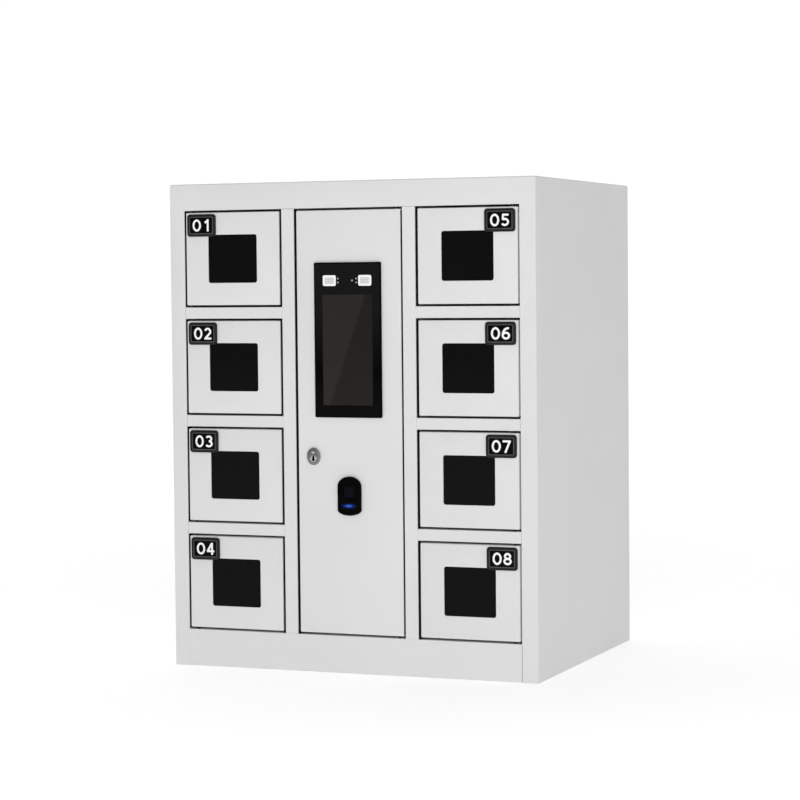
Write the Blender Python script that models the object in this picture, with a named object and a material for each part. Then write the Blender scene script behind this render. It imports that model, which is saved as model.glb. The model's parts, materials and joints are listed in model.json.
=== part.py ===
"""Phone charging kiosk: a steel cabinet with eight numbered compartments and a control column.

Metres, +Z up. The origin is the middle of the footprint, on the floor. The doors face -Y.
Every door stands closed and unlocked: the bolts are drawn back and the cam points up.
Run it with blender --background --python part.py, or from Blender's text editor.
"""

import math

import bmesh
import bpy
from mathutils import Matrix, Vector

MM = 0.001

# The cabinet. FRONT is the plane of the frame and the doors, and PROUD is how far the reader stands out.
WIDTH, DEPTH, HEIGHT = 520 * MM, 415 * MM, 650 * MM
PROUD = 5 * MM
FRONT, BACK = PROUD - DEPTH / 2, DEPTH / 2
REAR = BACK - 1.5 * MM  # the back panel's outer face, let in between the sides
SHEET = 1.2 * MM
CLEAR = 0.3 * MM  # between parts that touch
ROUND_SIDES = 16
SMOOTH_BELOW = math.radians(35)
SAME_POINT = MM / 1000

# The front frame, in widths and heights.
STILE, DIVIDER, SIDE_OPENING = 22 * MM, 18 * MM, 143 * MM
TOP_RAIL, BASE_RAIL, SHELF_FACE = 35.5 * MM, 49.5 * MM, 15 * MM
ROWS = 4
ROW_OPENING = (HEIGHT - TOP_RAIL - BASE_RAIL - (ROWS - 1) * SHELF_FACE) / ROWS
ROW_PITCH = ROW_OPENING + SHELF_FACE
JAMB = 20 * MM  # depth of the folds round each opening
FLANGE = 15 * MM
FOOT_FOLD = 25 * MM  # depth of the fold under the base rail
SHELF_LIP = 18 * MM  # depth of the fold under each shelf's face
SHELF_SIDE = 12 * MM  # height of the folds along each shelf's sides

# Distances out from the cabinet's middle plane, the same on both sides.
SHELL_IN = WIDTH / 2 - SHEET
STILE_IN = WIDTH / 2 - STILE
DIVIDER_OUT = STILE_IN - SIDE_OPENING
DIVIDER_IN = DIVIDER_OUT - DIVIDER
LINER_OUT = SHELL_IN - CLEAR
HEADER_Z = HEIGHT - TOP_RAIL

# Doors. The hinge pins stand in the corner nearest the cabinet's side.
DOOR_DEPTH = 16 * MM
HINGE_GAP, LOCK_GAP, ROW_GAP = 2.5 * MM, 3.5 * MM, 3 * MM
DOOR_WIDTH = SIDE_OPENING - HINGE_GAP - LOCK_GAP
DOOR_HEIGHT = ROW_OPENING - 2 * ROW_GAP
PIN_INSET, PIN_DEPTH = 8 * MM, 6 * MM
PIN_RADIUS, PIN_HOLE_RADIUS = 2 * MM, 2.4 * MM
PIN_OUT, PIN_IN = ROW_GAP + SHEET + 2.5 * MM, 6 * MM
PIN_Y = FRONT + PIN_DEPTH
SIDE_PIN = STILE_IN - HINGE_GAP - PIN_INSET

# Control door, hinged on the right.
CONTROL_WIDTH = 2 * DIVIDER_IN - HINGE_GAP - LOCK_GAP
CONTROL_HEIGHT = HEADER_Z - BASE_RAIL - 2 * ROW_GAP
CONTROL_Z = (HEADER_Z + BASE_RAIL) / 2
CONTROL_PIN = DIVIDER_IN - HINGE_GAP - PIN_INSET

# Window and number plate of each small door.
WINDOW_CUT = Vector((71.5 * MM, 64.5 * MM))
WINDOW_LAP, WINDOW_SHEET = 8 * MM, 3 * MM
WINDOW_CUT_CORNER, WINDOW_CORNER = 2 * MM, 3 * MM
PLATE_SIZE, PLATE_THICK = Vector((42 * MM, 30 * MM)), 2.2 * MM
PLATE_FROM_EDGE, PLATE_FROM_TOP = 2.6 * MM, 2 * MM
PLATE_RIM, PLATE_RECESS = 3 * MM, 0.5 * MM
PLATE_CORNER, PLATE_SLOPE, RECESS_CORNER = 3 * MM, 1 * MM, 1.5 * MM

# Strike on each door, and the solenoid lock whose bolt goes through it. STRIKE_OUT is its inner face.
STRIKE_OUT, STRIKE_SHEET, STRIKE_REACH = 103 * MM, 1.5 * MM, 40 * MM
STRIKE_HALF_Z, STRIKE_FOOT = 11 * MM, 18 * MM
STRIKE_PLAY, WALL_PLAY = 1.5 * MM, 0.6 * MM  # round the bolt, in the strike and in the divider's wall
BOLT_Y, BOLT_THICK, BOLT_HEIGHT, BOLT_LENGTH = FRONT + 30 * MM, 6 * MM, 8 * MM, 24 * MM
BOLT_SLANT = 4 * MM
BOLT_TIP = DIVIDER_OUT - 0.6 * MM
LOCK_FACE = DIVIDER_OUT - SHEET - CLEAR
LOCK_WIDTH, LOCK_HALF_Z = 27.5 * MM, 13 * MM
LOCK_Y = (FRONT + 25 * MM, FRONT + 55 * MM)
BRACKET_Y, BRACKET_HALF_Z = (FRONT + 24 * MM, FRONT + 60 * MM), 17 * MM
COIL_RADIUS, COIL_REACH = 7 * MM, 4 * MM
CHANNEL_SPARE = 1.5 * MM  # behind the bolt's end

# Charging panel at the back of each column, with a twin socket in each compartment.
CHARGER_Y = BACK - 45 * MM
CHARGER_FLANGE = 30 * MM
SOCKET_SIZE, SOCKET_THICK, SOCKET_CORNER = Vector((46 * MM, 24 * MM)), 4 * MM, 3 * MM
PORT_SIZE, PORT_DEPTH, PORT_PITCH = Vector((12.6 * MM, 5 * MM)), 9 * MM, 21 * MM
TONGUE_SIZE, TONGUE_LIFT, TONGUE_SETBACK = Vector((10.6 * MM, 1.9 * MM)), 0.8 * MM, 1 * MM

# What the control door carries: terminal, fingerprint reader and cam lock.
TERMINAL_SIZE, TERMINAL_Z = Vector((95 * MM, 204 * MM)), 440.9 * MM
TERMINAL_CUT = Vector((90 * MM, 198 * MM))
BEZEL_THICK, BEZEL_RIM, BEZEL_CORNER, GLASS_THICK = 3 * MM, 1.5 * MM, 1.5 * MM, 1 * MM
TERMINAL_REACH = 34 * MM
READER_WIDTH, READER_HEIGHT, READER_Z = 33 * MM, 51.5 * MM, 235.5 * MM
READER_DOME, READER_SAG = 15 * MM, 6.5 * MM
READER_CUT, READER_REACH = Vector((25 * MM, 40 * MM)), 18 * MM
HOLLOW_RADIUS, HOLLOW_DEPTH, HOLLOW_Z = 14 * MM, 2.2 * MM, (READER_Z - 22 * MM, READER_Z + 18 * MM)
NECK_SETBACK = 2 * MM  # from the reader's face to the module behind it
DOME_STEPS, SAG_STEPS = 14, 10
LOCK_X, LOCK_Z = -51.3 * MM, 284.2 * MM
OVAL_SIZE, OVAL_LIFT, OVAL_PROUD = Vector((19 * MM, 23 * MM)), 2.8 * MM, 2.5 * MM
BARREL_RADIUS, BARREL_END = 8 * MM, 21 * MM
NUT_RADIUS, NUT_THICK = 13 * MM, 4 * MM
PLUG_RADIUS, PLUG_CLEAR = 4.8 * MM, 0.3 * MM
CAM_LENGTH, CAM_WIDTH, CAM_THICK, CAM_CORNER = 33 * MM, 12 * MM, 2 * MM, 2 * MM
CAM_START = BARREL_END + 1 * MM
KEYWAY = (1.4 * MM, 6 * MM, 10 * MM)  # width, height, depth

# Power and control unit on the back panel, with a mains inlet through it.
UNIT_SIZE, UNIT_Z = Vector((110 * MM, 55 * MM, 170 * MM)), 185 * MM
INLET_SIZE, INLET_SOCKET = Vector((28 * MM, 21 * MM)), Vector((22 * MM, 14 * MM, 12 * MM))
INLET_Z, INLET_CORNER = 122 * MM, 2 * MM
VENT_SIZE, VENT_PITCH, VENTS = Vector((70 * MM, 4 * MM)), 12 * MM, 8
VENT_TOP_Z = 600 * MM

PAINT = "light_grey_paint"
MATERIALS = {  # name: (colour, roughness, metallic)
    PAINT: ((0.76, 0.76, 0.76), 0.45, 0.0),
    "smoked_acrylic": ((0.006, 0.006, 0.007), 0.08, 0.0),
    "black_plastic": ((0.015, 0.015, 0.016), 0.35, 0.0),
    "screen_glass": ((0.01, 0.01, 0.011), 0.05, 0.0),
    "zinc_plate": ((0.58, 0.58, 0.6), 0.35, 1.0),
    "chrome": ((0.66, 0.66, 0.68), 0.18, 1.0),
    "unit_case": ((0.1, 0.1, 0.11), 0.5, 0.0),
}


# Scene --------------------------------------------------------------------------------------------


def new_collection(name):
    collection = bpy.data.collections.new(name)
    bpy.context.scene.collection.children.link(collection)
    return collection


def new_material(name, colour, roughness, metallic):
    material = bpy.data.materials.new(name)
    material.use_nodes = True
    shader = material.node_tree.nodes["Principled BSDF"]
    shader.inputs["Base Color"].default_value = (*colour, 1)
    shader.inputs["Roughness"].default_value = roughness
    shader.inputs["Metallic"].default_value = metallic
    return material


def new_empty(name, location):
    empty = bpy.data.objects.new(name, None)
    empty.empty_display_size = 0.02
    empty.location = location
    KIOSK.objects.link(empty)
    return empty


def new_part(name, mesh, material, location=(0, 0, 0), parent=None):
    """A node of the kiosk. The location is in world space, and a parent's own location is taken off it."""
    part = bpy.data.objects.new(name, mesh)
    if not mesh.materials:
        mesh.materials.append(bpy.data.materials[material])
    part.location = Vector(location)
    if parent:
        part.parent = parent
        part.location -= parent.location
    KIOSK.objects.link(part)
    return part


# Shapes. Each returns a helper object, which merged() uses up ---------------------------------------


def new_helper(bm):
    mesh = bpy.data.meshes.new("helper")
    bm.to_mesh(mesh)
    bm.free()
    helper = bpy.data.objects.new("helper", mesh)
    helper.hide_render = True
    helper.display_type = "WIRE"
    CUTTERS.objects.link(helper)
    return helper


def edges_along(bm, axis):
    """The edges that run along one axis, 0 for X, 1 for Y and 2 for Z."""
    return [e for e in bm.edges if abs((e.verts[0].co - e.verts[1].co).normalized()[axis]) > 0.99]


def block(x, y, z, corner=0.0, axis=1, segments=3):
    """A box between two values on each axis, with its four corners round about one axis if asked for."""
    bm = bmesh.new()
    bmesh.ops.create_cube(bm, size=1)
    for vert in bm.verts:
        vert.co = [max(ends) if c > 0 else min(ends) for c, ends in zip(vert.co, (x, y, z))]
    if corner:
        bmesh.ops.bevel(
            bm, geom=edges_along(bm, axis), offset=corner, segments=segments, profile=0.5, affect="EDGES"
        )
    return new_helper(bm)


def slab(centre, size, y, **rounding):
    """A box that faces the front: its centre (x, z), its size (width, height) and its two Y values."""
    (x, z), (width, height) = centre, size / 2
    return block((x - width, x + width), y, (z - height, z + height), **rounding)


def rod(centre, radius, ends, axis, squash=1.0):
    """A cylinder along one axis between two values. The centre's value on that axis isn't used.
    squash is its depth over its width, for an oval."""
    bm = bmesh.new()
    bmesh.ops.create_cone(
        bm,
        cap_ends=True,
        segments=ROUND_SIDES,
        radius1=radius,
        radius2=radius,
        depth=max(ends) - min(ends),
    )
    bmesh.ops.scale(bm, vec=(1, squash, 1), verts=bm.verts)
    turn = {
        0: Matrix.Rotation(math.pi / 2, 3, "Y"),
        1: Matrix.Rotation(math.pi / 2, 3, "X"),
        2: Matrix.Identity(3),
    }[axis]
    bmesh.ops.rotate(bm, matrix=turn, verts=bm.verts)
    middle = Vector(centre)
    middle[axis] = sum(ends) / 2
    bmesh.ops.translate(bm, vec=middle, verts=bm.verts)
    return new_helper(bm)


def arc(centre, radius, start, end, steps):
    """Points along an arc, in degrees."""
    angles = [math.radians(start + (end - start) * i / steps) for i in range(steps + 1)]
    return [(centre[0] + radius * math.cos(a), centre[1] + radius * math.sin(a)) for a in angles]


def outline_plate(points, y):
    """A flat plate that faces the front, from the (x, z) points of its outline and its two Y values."""
    curve = bpy.data.curves.new("outline", "CURVE")
    curve.dimensions = "2D"
    curve.fill_mode = "BOTH"
    curve.extrude = (max(y) - min(y)) / 2
    spline = curve.splines.new("POLY")
    spline.points.add(len(points) - 1)
    for point, (x, z) in zip(spline.points, points):
        point.co = (x, z, 0, 1)
    spline.use_cyclic_u = True
    drawn = bpy.data.objects.new("outline", curve)
    CUTTERS.objects.link(drawn)
    graph = bpy.context.evaluated_depsgraph_get()
    mesh = bpy.data.meshes.new_from_object(drawn.evaluated_get(graph))
    upright = Matrix.Translation((0, sum(y) / 2, 0)) @ Matrix.Rotation(math.pi / 2, 4, "X")
    bm = bmesh.new()
    bm.from_mesh(mesh)
    bmesh.ops.transform(bm, matrix=upright, verts=bm.verts)
    bmesh.ops.remove_doubles(bm, verts=bm.verts, dist=SAME_POINT)
    bpy.data.objects.remove(drawn)
    return new_helper(bm)


def merged(name, adds, cuts=()):
    """One mesh: the helpers in adds joined, less those in cuts. The helpers are used up."""
    base, *others = adds
    for operation, helpers in (("UNION", others), ("DIFFERENCE", cuts)):
        if not helpers:
            continue
        group = bpy.data.collections.new(operation)
        for helper in helpers:
            group.objects.link(helper)
        modifier = base.modifiers.new(operation, "BOOLEAN")
        modifier.operation = operation
        modifier.operand_type = "COLLECTION"
        modifier.collection = group
    graph = bpy.context.evaluated_depsgraph_get()
    mesh = bpy.data.meshes.new_from_object(base.evaluated_get(graph))
    mesh.name = name
    mesh.shade_smooth()
    mesh.set_sharp_from_angle(angle=SMOOTH_BELOW)
    for modifier in base.modifiers:
        bpy.data.collections.remove(modifier.collection)
    for helper in (*adds, *cuts):
        bpy.data.objects.remove(helper)
    return mesh


# Places -------------------------------------------------------------------------------------------


def row_floor(row):
    """Height of the bottom of a row's opening. Row 0 is the top one."""
    return BASE_RAIL + (ROWS - 1 - row) * ROW_PITCH


def row_middle(row):
    return row_floor(row) + ROW_OPENING / 2


def compartments():
    """Each compartment's number as text, side (-1 left, 1 right) and row, down each column."""
    for column, side in enumerate((-1, 1)):
        for row in range(ROWS):
            yield f"{column * ROWS + row + 1:02d}", side, row


def pin_holes(xs, z):
    return [rod((x, PIN_Y, 0), PIN_HOLE_RADIUS, z, 2) for x in xs]


# Cabinet ------------------------------------------------------------------------------------------


def cabinet_shell():
    """Sides, top and front frame, folded from one sheet, with flanges for the back panel."""
    deep = (FRONT, BACK)
    web = (FRONT, FRONT + SHEET)
    rear = (REAR - CLEAR - SHEET, REAR - CLEAR - 2 * SHEET)
    adds = [block((-WIDTH / 2, WIDTH / 2), deep, (HEIGHT - SHEET, HEIGHT))]
    for side in (-1, 1):
        adds += [
            block((side * SHELL_IN, side * WIDTH / 2), deep, (0, HEIGHT)),
            block((side * STILE_IN, side * WIDTH / 2), web, (0, HEIGHT)),
            block((side * STILE_IN, side * (STILE_IN + SHEET)), (FRONT, FRONT + JAMB), (0, HEIGHT)),
            block((side * (SHELL_IN - FLANGE), side * WIDTH / 2), rear, (BASE_RAIL + SHEET, HEIGHT)),
        ]
    adds += [
        block((-WIDTH / 2, WIDTH / 2), web, (HEADER_Z, HEIGHT)),
        block((-STILE_IN - SHEET, STILE_IN + SHEET), (FRONT, FRONT + JAMB), (HEADER_Z, HEADER_Z + SHEET)),
        block((-WIDTH / 2, WIDTH / 2), rear, (HEIGHT - SHEET - FLANGE, HEIGHT)),
    ]
    lip = (HEADER_Z - SHEET, HEADER_Z + 2 * SHEET)
    cuts = pin_holes((-SIDE_PIN, SIDE_PIN, CONTROL_PIN), lip)
    new_part("cabinet_shell", merged("cabinet_shell", adds, cuts), PAINT)


def base_panel():
    """Bottom rail, the floor of the lowest row, and the skirts that it stands on."""
    rail = STILE_IN - CLEAR
    floor = (BASE_RAIL - SHEET, BASE_RAIL)
    behind = (FRONT + JAMB + CLEAR, REAR - SHEET - CLEAR)
    adds = [
        block((-rail, rail), (FRONT, FRONT + SHEET), (0, BASE_RAIL)),
        block((-rail, rail), (FRONT, behind[0] + SHEET), floor),
        block((-rail, rail), (FRONT, FRONT + FOOT_FOLD), (0, SHEET)),
        block((-LINER_OUT, LINER_OUT), behind, floor),
        block((-LINER_OUT, LINER_OUT), (behind[1] - SHEET, behind[1]), (0, BASE_RAIL)),
    ]
    for side in (-1, 1):
        adds.append(block((side * (LINER_OUT - SHEET), side * LINER_OUT), behind, (0, BASE_RAIL)))
    holes = (BASE_RAIL - 2 * SHEET, BASE_RAIL + SHEET)
    cuts = pin_holes((-SIDE_PIN, SIDE_PIN, CONTROL_PIN), holes)
    new_part("base_panel", merged("base_panel", adds, cuts), PAINT)


def back_panel():
    """Flat sheet on the shell's rear flanges, with vents for each column and a hole for the mains inlet."""
    sheet = (REAR - SHEET, REAR)
    cutter = (REAR - 2 * SHEET, REAR + SHEET)
    side_middle = (DIVIDER_OUT + STILE_IN) / 2
    adds = [block((-LINER_OUT, LINER_OUT), sheet, (CLEAR, HEIGHT - SHEET - CLEAR))]
    cuts = [slab((0, INLET_Z), INLET_SIZE + Vector((CLEAR, CLEAR)) * 2, cutter)]
    for x in (-side_middle, 0, side_middle):
        for i in range(VENTS):
            cuts.append(slab((x, VENT_TOP_Z - i * VENT_PITCH), VENT_SIZE, cutter))
    new_part("back_panel", merged("back_panel", adds, cuts), PAINT)


def partition(side):
    """Upright between a column and the control bay. Its wall has a hole for each lock's bolt."""
    web = (FRONT, FRONT + SHEET)
    low, high = BASE_RAIL + CLEAR, HEADER_Z - CLEAR
    wall = (side * (DIVIDER_OUT - SHEET), side * DIVIDER_OUT)
    behind = FRONT + JAMB + CLEAR
    rear = REAR - 2 * SHEET - 2 * CLEAR
    adds = [
        block((side * DIVIDER_IN, side * DIVIDER_OUT), web, (low, high)),
        block((side * DIVIDER_IN, side * (DIVIDER_IN + SHEET)), (FRONT, FRONT + JAMB), (low, high)),
        block(wall, (FRONT, behind + SHEET), (low, high)),
        block(wall, (behind, rear), (low, HEIGHT - SHEET - CLEAR)),
    ]
    y = (BOLT_Y - BOLT_THICK / 2 - WALL_PLAY, BOLT_Y + BOLT_THICK / 2 + WALL_PLAY)
    half = BOLT_HEIGHT / 2 + WALL_PLAY
    hole = (side * (DIVIDER_OUT - 2 * SHEET), side * (DIVIDER_OUT + SHEET))
    cuts = []
    for row in range(ROWS):
        z = row_middle(row)
        cuts.append(block(hole, y, (z - half, z + half)))
    name = "left_partition" if side < 0 else "right_partition"
    new_part(name, merged(name, adds, cuts), PAINT)


def shelf_mesh(side):
    """Shelf tray about the bottom of its front face: face, folded lower lip, floor and side flanges."""
    inner, outer = DIVIDER_OUT + CLEAR, LINER_OUT
    narrow = (side * inner, side * (STILE_IN - CLEAR))
    behind = FRONT + JAMB + CLEAR
    rear = CHARGER_Y - CLEAR
    floor = (SHELF_FACE - SHEET, SHELF_FACE)
    sides = (SHELF_FACE - SHELF_SIDE, SHELF_FACE)
    adds = [
        block(narrow, (FRONT, FRONT + SHEET), (0, SHELF_FACE)),
        block(narrow, (FRONT, behind + SHEET), floor),
        block(narrow, (FRONT, FRONT + SHELF_LIP), (0, SHEET)),
        block((side * inner, side * outer), (behind, rear), floor),
        block((side * inner, side * (inner + SHEET)), (behind, rear), sides),
        block((side * (outer - SHEET), side * outer), (behind, rear), sides),
    ]
    cuts = pin_holes((side * SIDE_PIN,), (-SHEET, SHELF_FACE + SHEET))
    return merged("shelf", adds, cuts)


def shelves():
    for side, word in ((-1, "left"), (1, "right")):
        mesh = shelf_mesh(side)
        for row in range(ROWS - 1):
            z = row_floor(row) - SHELF_FACE
            new_part(f"{word}_shelf_{row + 1}", mesh, PAINT, (0, 0, z))


def socket_parts(x, z):
    """(adds, cuts, tongues) of a twin USB socket on a charging panel."""
    face = CHARGER_Y - SOCKET_THICK
    adds = [slab((x, z), SOCKET_SIZE, (face, CHARGER_Y + PORT_DEPTH), corner=SOCKET_CORNER)]
    cuts, tongues = [], []
    tongue_y = (face + TONGUE_SETBACK, face + PORT_DEPTH + SHEET)
    for port in (x - PORT_PITCH / 2, x + PORT_PITCH / 2):
        cuts.append(slab((port, z), PORT_SIZE, (face - SHEET, face + PORT_DEPTH)))
        tongues.append(slab((port, z + TONGUE_LIFT), TONGUE_SIZE, tongue_y))
    return adds, cuts, tongues


def charging_panel(side):
    """Inner back of a column, with folded sides and a twin charging socket in each compartment."""
    inner, outer = DIVIDER_OUT + CLEAR, LINER_OUT
    high = (BASE_RAIL + CLEAR, HEIGHT - SHEET - CLEAR)
    folds = (CHARGER_Y, CHARGER_Y + CHARGER_FLANGE)
    adds = [
        block((side * inner, side * outer), (CHARGER_Y, CHARGER_Y + SHEET), high),
        block((side * inner, side * (inner + SHEET)), folds, high),
        block((side * (outer - SHEET), side * outer), folds, high),
    ]
    cuts, tongues = [], []
    x = side * (inner + outer) / 2
    for row in range(ROWS):
        found = socket_parts(x, row_middle(row))
        adds += found[0]
        cuts += found[1]
        tongues += found[2]
    name = "left_charging_panel" if side < 0 else "right_charging_panel"
    holed = merged(name, adds, cuts)
    body = bpy.data.objects.new("holed", holed)
    CUTTERS.objects.link(body)
    new_part(name, merged(name, [body, *tongues]), PAINT)


# Compartment doors --------------------------------------------------------------------------------


def pan(x, z):
    """A door's face and its four folded edges, as (adds). x and z are its two values each."""
    (x0, x1), (z0, z1) = sorted(x), sorted(z)
    deep = (FRONT, FRONT + DOOR_DEPTH)
    return [
        block((x0, x1), (FRONT, FRONT + SHEET), (z0, z1)),
        block((x0, x0 + SHEET), deep, (z0, z1)),
        block((x1 - SHEET, x1), deep, (z0, z1)),
        block((x0, x1), deep, (z0, z0 + SHEET)),
        block((x0, x1), deep, (z1 - SHEET, z1)),
    ]


def hinge_pins(x, z):
    """The two pins welded into a door's top and bottom edges."""
    low, high = sorted(z)
    return [
        rod((x, PIN_Y, 0), PIN_RADIUS, (low - PIN_OUT, low + PIN_IN), 2),
        rod((x, PIN_Y, 0), PIN_RADIUS, (high - PIN_IN, high + PIN_OUT), 2),
    ]


def door_mesh(side):
    """A compartment door about its hinge axis, at the middle of its row."""
    lock_edge = DIVIDER_OUT + LOCK_GAP
    x = (side * lock_edge, side * (lock_edge + DOOR_WIDTH))
    z = (-DOOR_HEIGHT / 2, DOOR_HEIGHT / 2)
    tongue_face = STRIKE_OUT - STRIKE_SHEET
    foot = (FRONT + SHEET / 2, FRONT + SHEET + STRIKE_SHEET)
    strike_z = (-STRIKE_HALF_Z, STRIKE_HALF_Z)
    adds = [
        *pan(x, z),
        *hinge_pins(side * SIDE_PIN, z),
        block((side * tongue_face, side * STRIKE_OUT), (foot[0], FRONT + STRIKE_REACH), strike_z),
        block((side * tongue_face, side * (tongue_face + STRIKE_FOOT)), foot, strike_z),
    ]
    hole_y = (BOLT_Y - BOLT_THICK / 2 - STRIKE_PLAY, BOLT_Y + BOLT_THICK / 2 + STRIKE_PLAY)
    hole_z = BOLT_HEIGHT / 2 + STRIKE_PLAY
    hole_x = (side * (tongue_face - SHEET), side * (STRIKE_OUT + SHEET))
    cuts = [
        slab((sum(x) / 2, 0), WINDOW_CUT, (FRONT - SHEET, FRONT + 2 * SHEET), corner=WINDOW_CUT_CORNER),
        block(hole_x, hole_y, (-hole_z, hole_z)),
    ]
    mesh = merged("door", adds, cuts)
    mesh.transform(Matrix.Translation((-side * SIDE_PIN, -PIN_Y, 0)))
    return mesh


def window_mesh():
    """Smoked acrylic sheet about its own middle, wider than the hole that it covers from inside."""
    size = WINDOW_CUT + Vector((WINDOW_LAP, WINDOW_LAP)) * 2
    y = (-WINDOW_SHEET / 2, WINDOW_SHEET / 2)
    return merged("window", [slab((0, 0), size, y, corner=WINDOW_CORNER)])


def plate_mesh():
    """Number plate about its own middle: round corners, sloped edges and a sunk face."""
    bm = bmesh.new()
    bmesh.ops.create_cube(bm, size=1)
    bmesh.ops.scale(bm, vec=(PLATE_SIZE.x, PLATE_THICK, PLATE_SIZE.y), verts=bm.verts)
    bmesh.ops.bevel(
        bm, geom=edges_along(bm, 1), offset=PLATE_CORNER, segments=3, profile=0.5, affect="EDGES"
    )
    face_edges = [e for e in bm.edges if all(v.co.y < 0 for v in e.verts)]
    bmesh.ops.bevel(bm, geom=face_edges, offset=PLATE_SLOPE, segments=1, affect="EDGES")
    sunk = PLATE_SIZE - Vector((PLATE_RIM, PLATE_RIM)) * 2
    front = -PLATE_THICK / 2
    recess = slab((0, 0), sunk, (front - SHEET, front + PLATE_RECESS), corner=RECESS_CORNER)
    return merged("number_plate", [new_helper(bm)], [recess])


def doors():
    window, plate = window_mesh(), plate_mesh()
    panels = {side: door_mesh(side) for side in (-1, 1)}
    window_x = (DIVIDER_OUT + LOCK_GAP) + DOOR_WIDTH / 2
    window_y = FRONT + SHEET + CLEAR + WINDOW_SHEET / 2
    plate_x = STILE_IN - HINGE_GAP - PLATE_FROM_EDGE - PLATE_SIZE.x / 2
    plate_y = FRONT - CLEAR - PLATE_THICK / 2
    plate_z = DOOR_HEIGHT / 2 - PLATE_FROM_TOP - PLATE_SIZE.y / 2
    for number, side, row in compartments():
        middle = row_middle(row)
        hinge = new_empty(f"hinge_{number}", (side * SIDE_PIN, PIN_Y, middle))
        new_part(f"door_{number}", panels[side], PAINT, hinge.location, hinge)
        new_part(
            f"window_{number}", window, "smoked_acrylic", (side * window_x, window_y, middle), hinge
        )
        new_part(
            f"number_plate_{number}",
            plate,
            "black_plastic",
            (side * plate_x, plate_y, middle + plate_z),
            hinge,
        )


# Solenoid locks -----------------------------------------------------------------------------------


def lock_body_mesh(side):
    """Solenoid lock at the middle of its row: bracket on the partition, case, coil end and bolt channel."""
    face = LOCK_FACE
    bracket = (side * (face - SHEET), side * face)
    case = (side * (face - LOCK_WIDTH), side * (face - SHEET / 2))
    case_end = face - LOCK_WIDTH
    middle_y = sum(LOCK_Y) / 2
    coil = (side * (case_end - COIL_REACH), side * (case_end + SHEET))
    adds = [
        block(bracket, BRACKET_Y, (-BRACKET_HALF_Z, BRACKET_HALF_Z)),
        block(case, LOCK_Y, (-LOCK_HALF_Z, LOCK_HALF_Z)),
        rod((0, middle_y, 0), COIL_RADIUS, coil, 0),
    ]
    y = (BOLT_Y - BOLT_THICK / 2 - CLEAR, BOLT_Y + BOLT_THICK / 2 + CLEAR)
    z = BOLT_HEIGHT / 2 + CLEAR
    channel_end = BOLT_TIP - BOLT_LENGTH - CHANNEL_SPARE
    cuts = [block((side * channel_end, side * (face + SHEET)), y, (-z, z))]
    return merged("lock_body", adds, cuts)


def bolt_mesh(side):
    """A lock's bolt about the middle of its tip, with a slanted nose that a closing door pushes back."""
    bm = bmesh.new()
    bmesh.ops.create_cube(bm, size=1)
    bmesh.ops.scale(bm, vec=(BOLT_LENGTH, BOLT_THICK, BOLT_HEIGHT), verts=bm.verts)
    bmesh.ops.translate(bm, vec=(-side * BOLT_LENGTH / 2, 0, 0), verts=bm.verts)
    nose = [e for e in edges_along(bm, 2) if all(abs(v.co.x) < MM and v.co.y < 0 for v in e.verts)]
    bmesh.ops.bevel(bm, geom=nose, offset=BOLT_SLANT, segments=1, affect="EDGES")
    return merged("lock_bolt", [new_helper(bm)])


def locks():
    bodies = {side: lock_body_mesh(side) for side in (-1, 1)}
    bolts = {side: bolt_mesh(side) for side in (-1, 1)}
    for number, side, row in compartments():
        z = row_middle(row)
        new_part(f"lock_body_{number}", bodies[side], "zinc_plate", (0, 0, z))
        new_part(f"lock_bolt_{number}", bolts[side], "chrome", (side * BOLT_TIP, BOLT_Y, z))


# Control door -------------------------------------------------------------------------------------


def control_door(hinge):
    """The middle door, cut for the terminal, the cam lock and the fingerprint reader."""
    right = DIVIDER_IN - HINGE_GAP
    x = (right - CONTROL_WIDTH, right)
    z = (CONTROL_Z - CONTROL_HEIGHT / 2, CONTROL_Z + CONTROL_HEIGHT / 2)
    through = (FRONT - SHEET, FRONT + 2 * SHEET)
    play = Vector((CLEAR, CLEAR)) * 2
    cuts = [
        slab((0, TERMINAL_Z), TERMINAL_CUT, through),
        slab((0, READER_Z), READER_CUT + play, through),
        rod((LOCK_X, 0, LOCK_Z), BARREL_RADIUS + CLEAR, through, 1),
    ]
    mesh = merged("control_door", [*pan(x, z), *hinge_pins(CONTROL_PIN, z)], cuts)
    mesh.transform(Matrix.Translation(-hinge.location))
    new_part("control_door", mesh, PAINT, hinge.location, hinge)


def face_terminal(hinge):
    """Face recognition terminal: a case with a bezel outside the door, and a glass front let into it."""
    face = FRONT - CLEAR - BEZEL_THICK
    pocket = GLASS_THICK + CLEAR
    inside = TERMINAL_SIZE - Vector((BEZEL_RIM, BEZEL_RIM)) * 2
    play = Vector((CLEAR, CLEAR)) * 2
    adds = [
        slab((0, TERMINAL_Z), TERMINAL_SIZE, (face, FRONT - CLEAR), corner=BEZEL_CORNER),
        slab((0, TERMINAL_Z), TERMINAL_CUT - play, (face + pocket + MM, FRONT + TERMINAL_REACH)),
    ]
    cuts = [slab((0, TERMINAL_Z), inside, (face - SHEET, face + pocket))]
    new_part(
        "terminal_case", merged("terminal_case", adds, cuts), "black_plastic", (0, 0, 0), hinge
    )
    glass = [slab((0, TERMINAL_Z), inside - play, (face, face + GLASS_THICK))]
    new_part("terminal_glass", merged("terminal_glass", glass), "screen_glass", (0, 0, 0), hinge)


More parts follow.
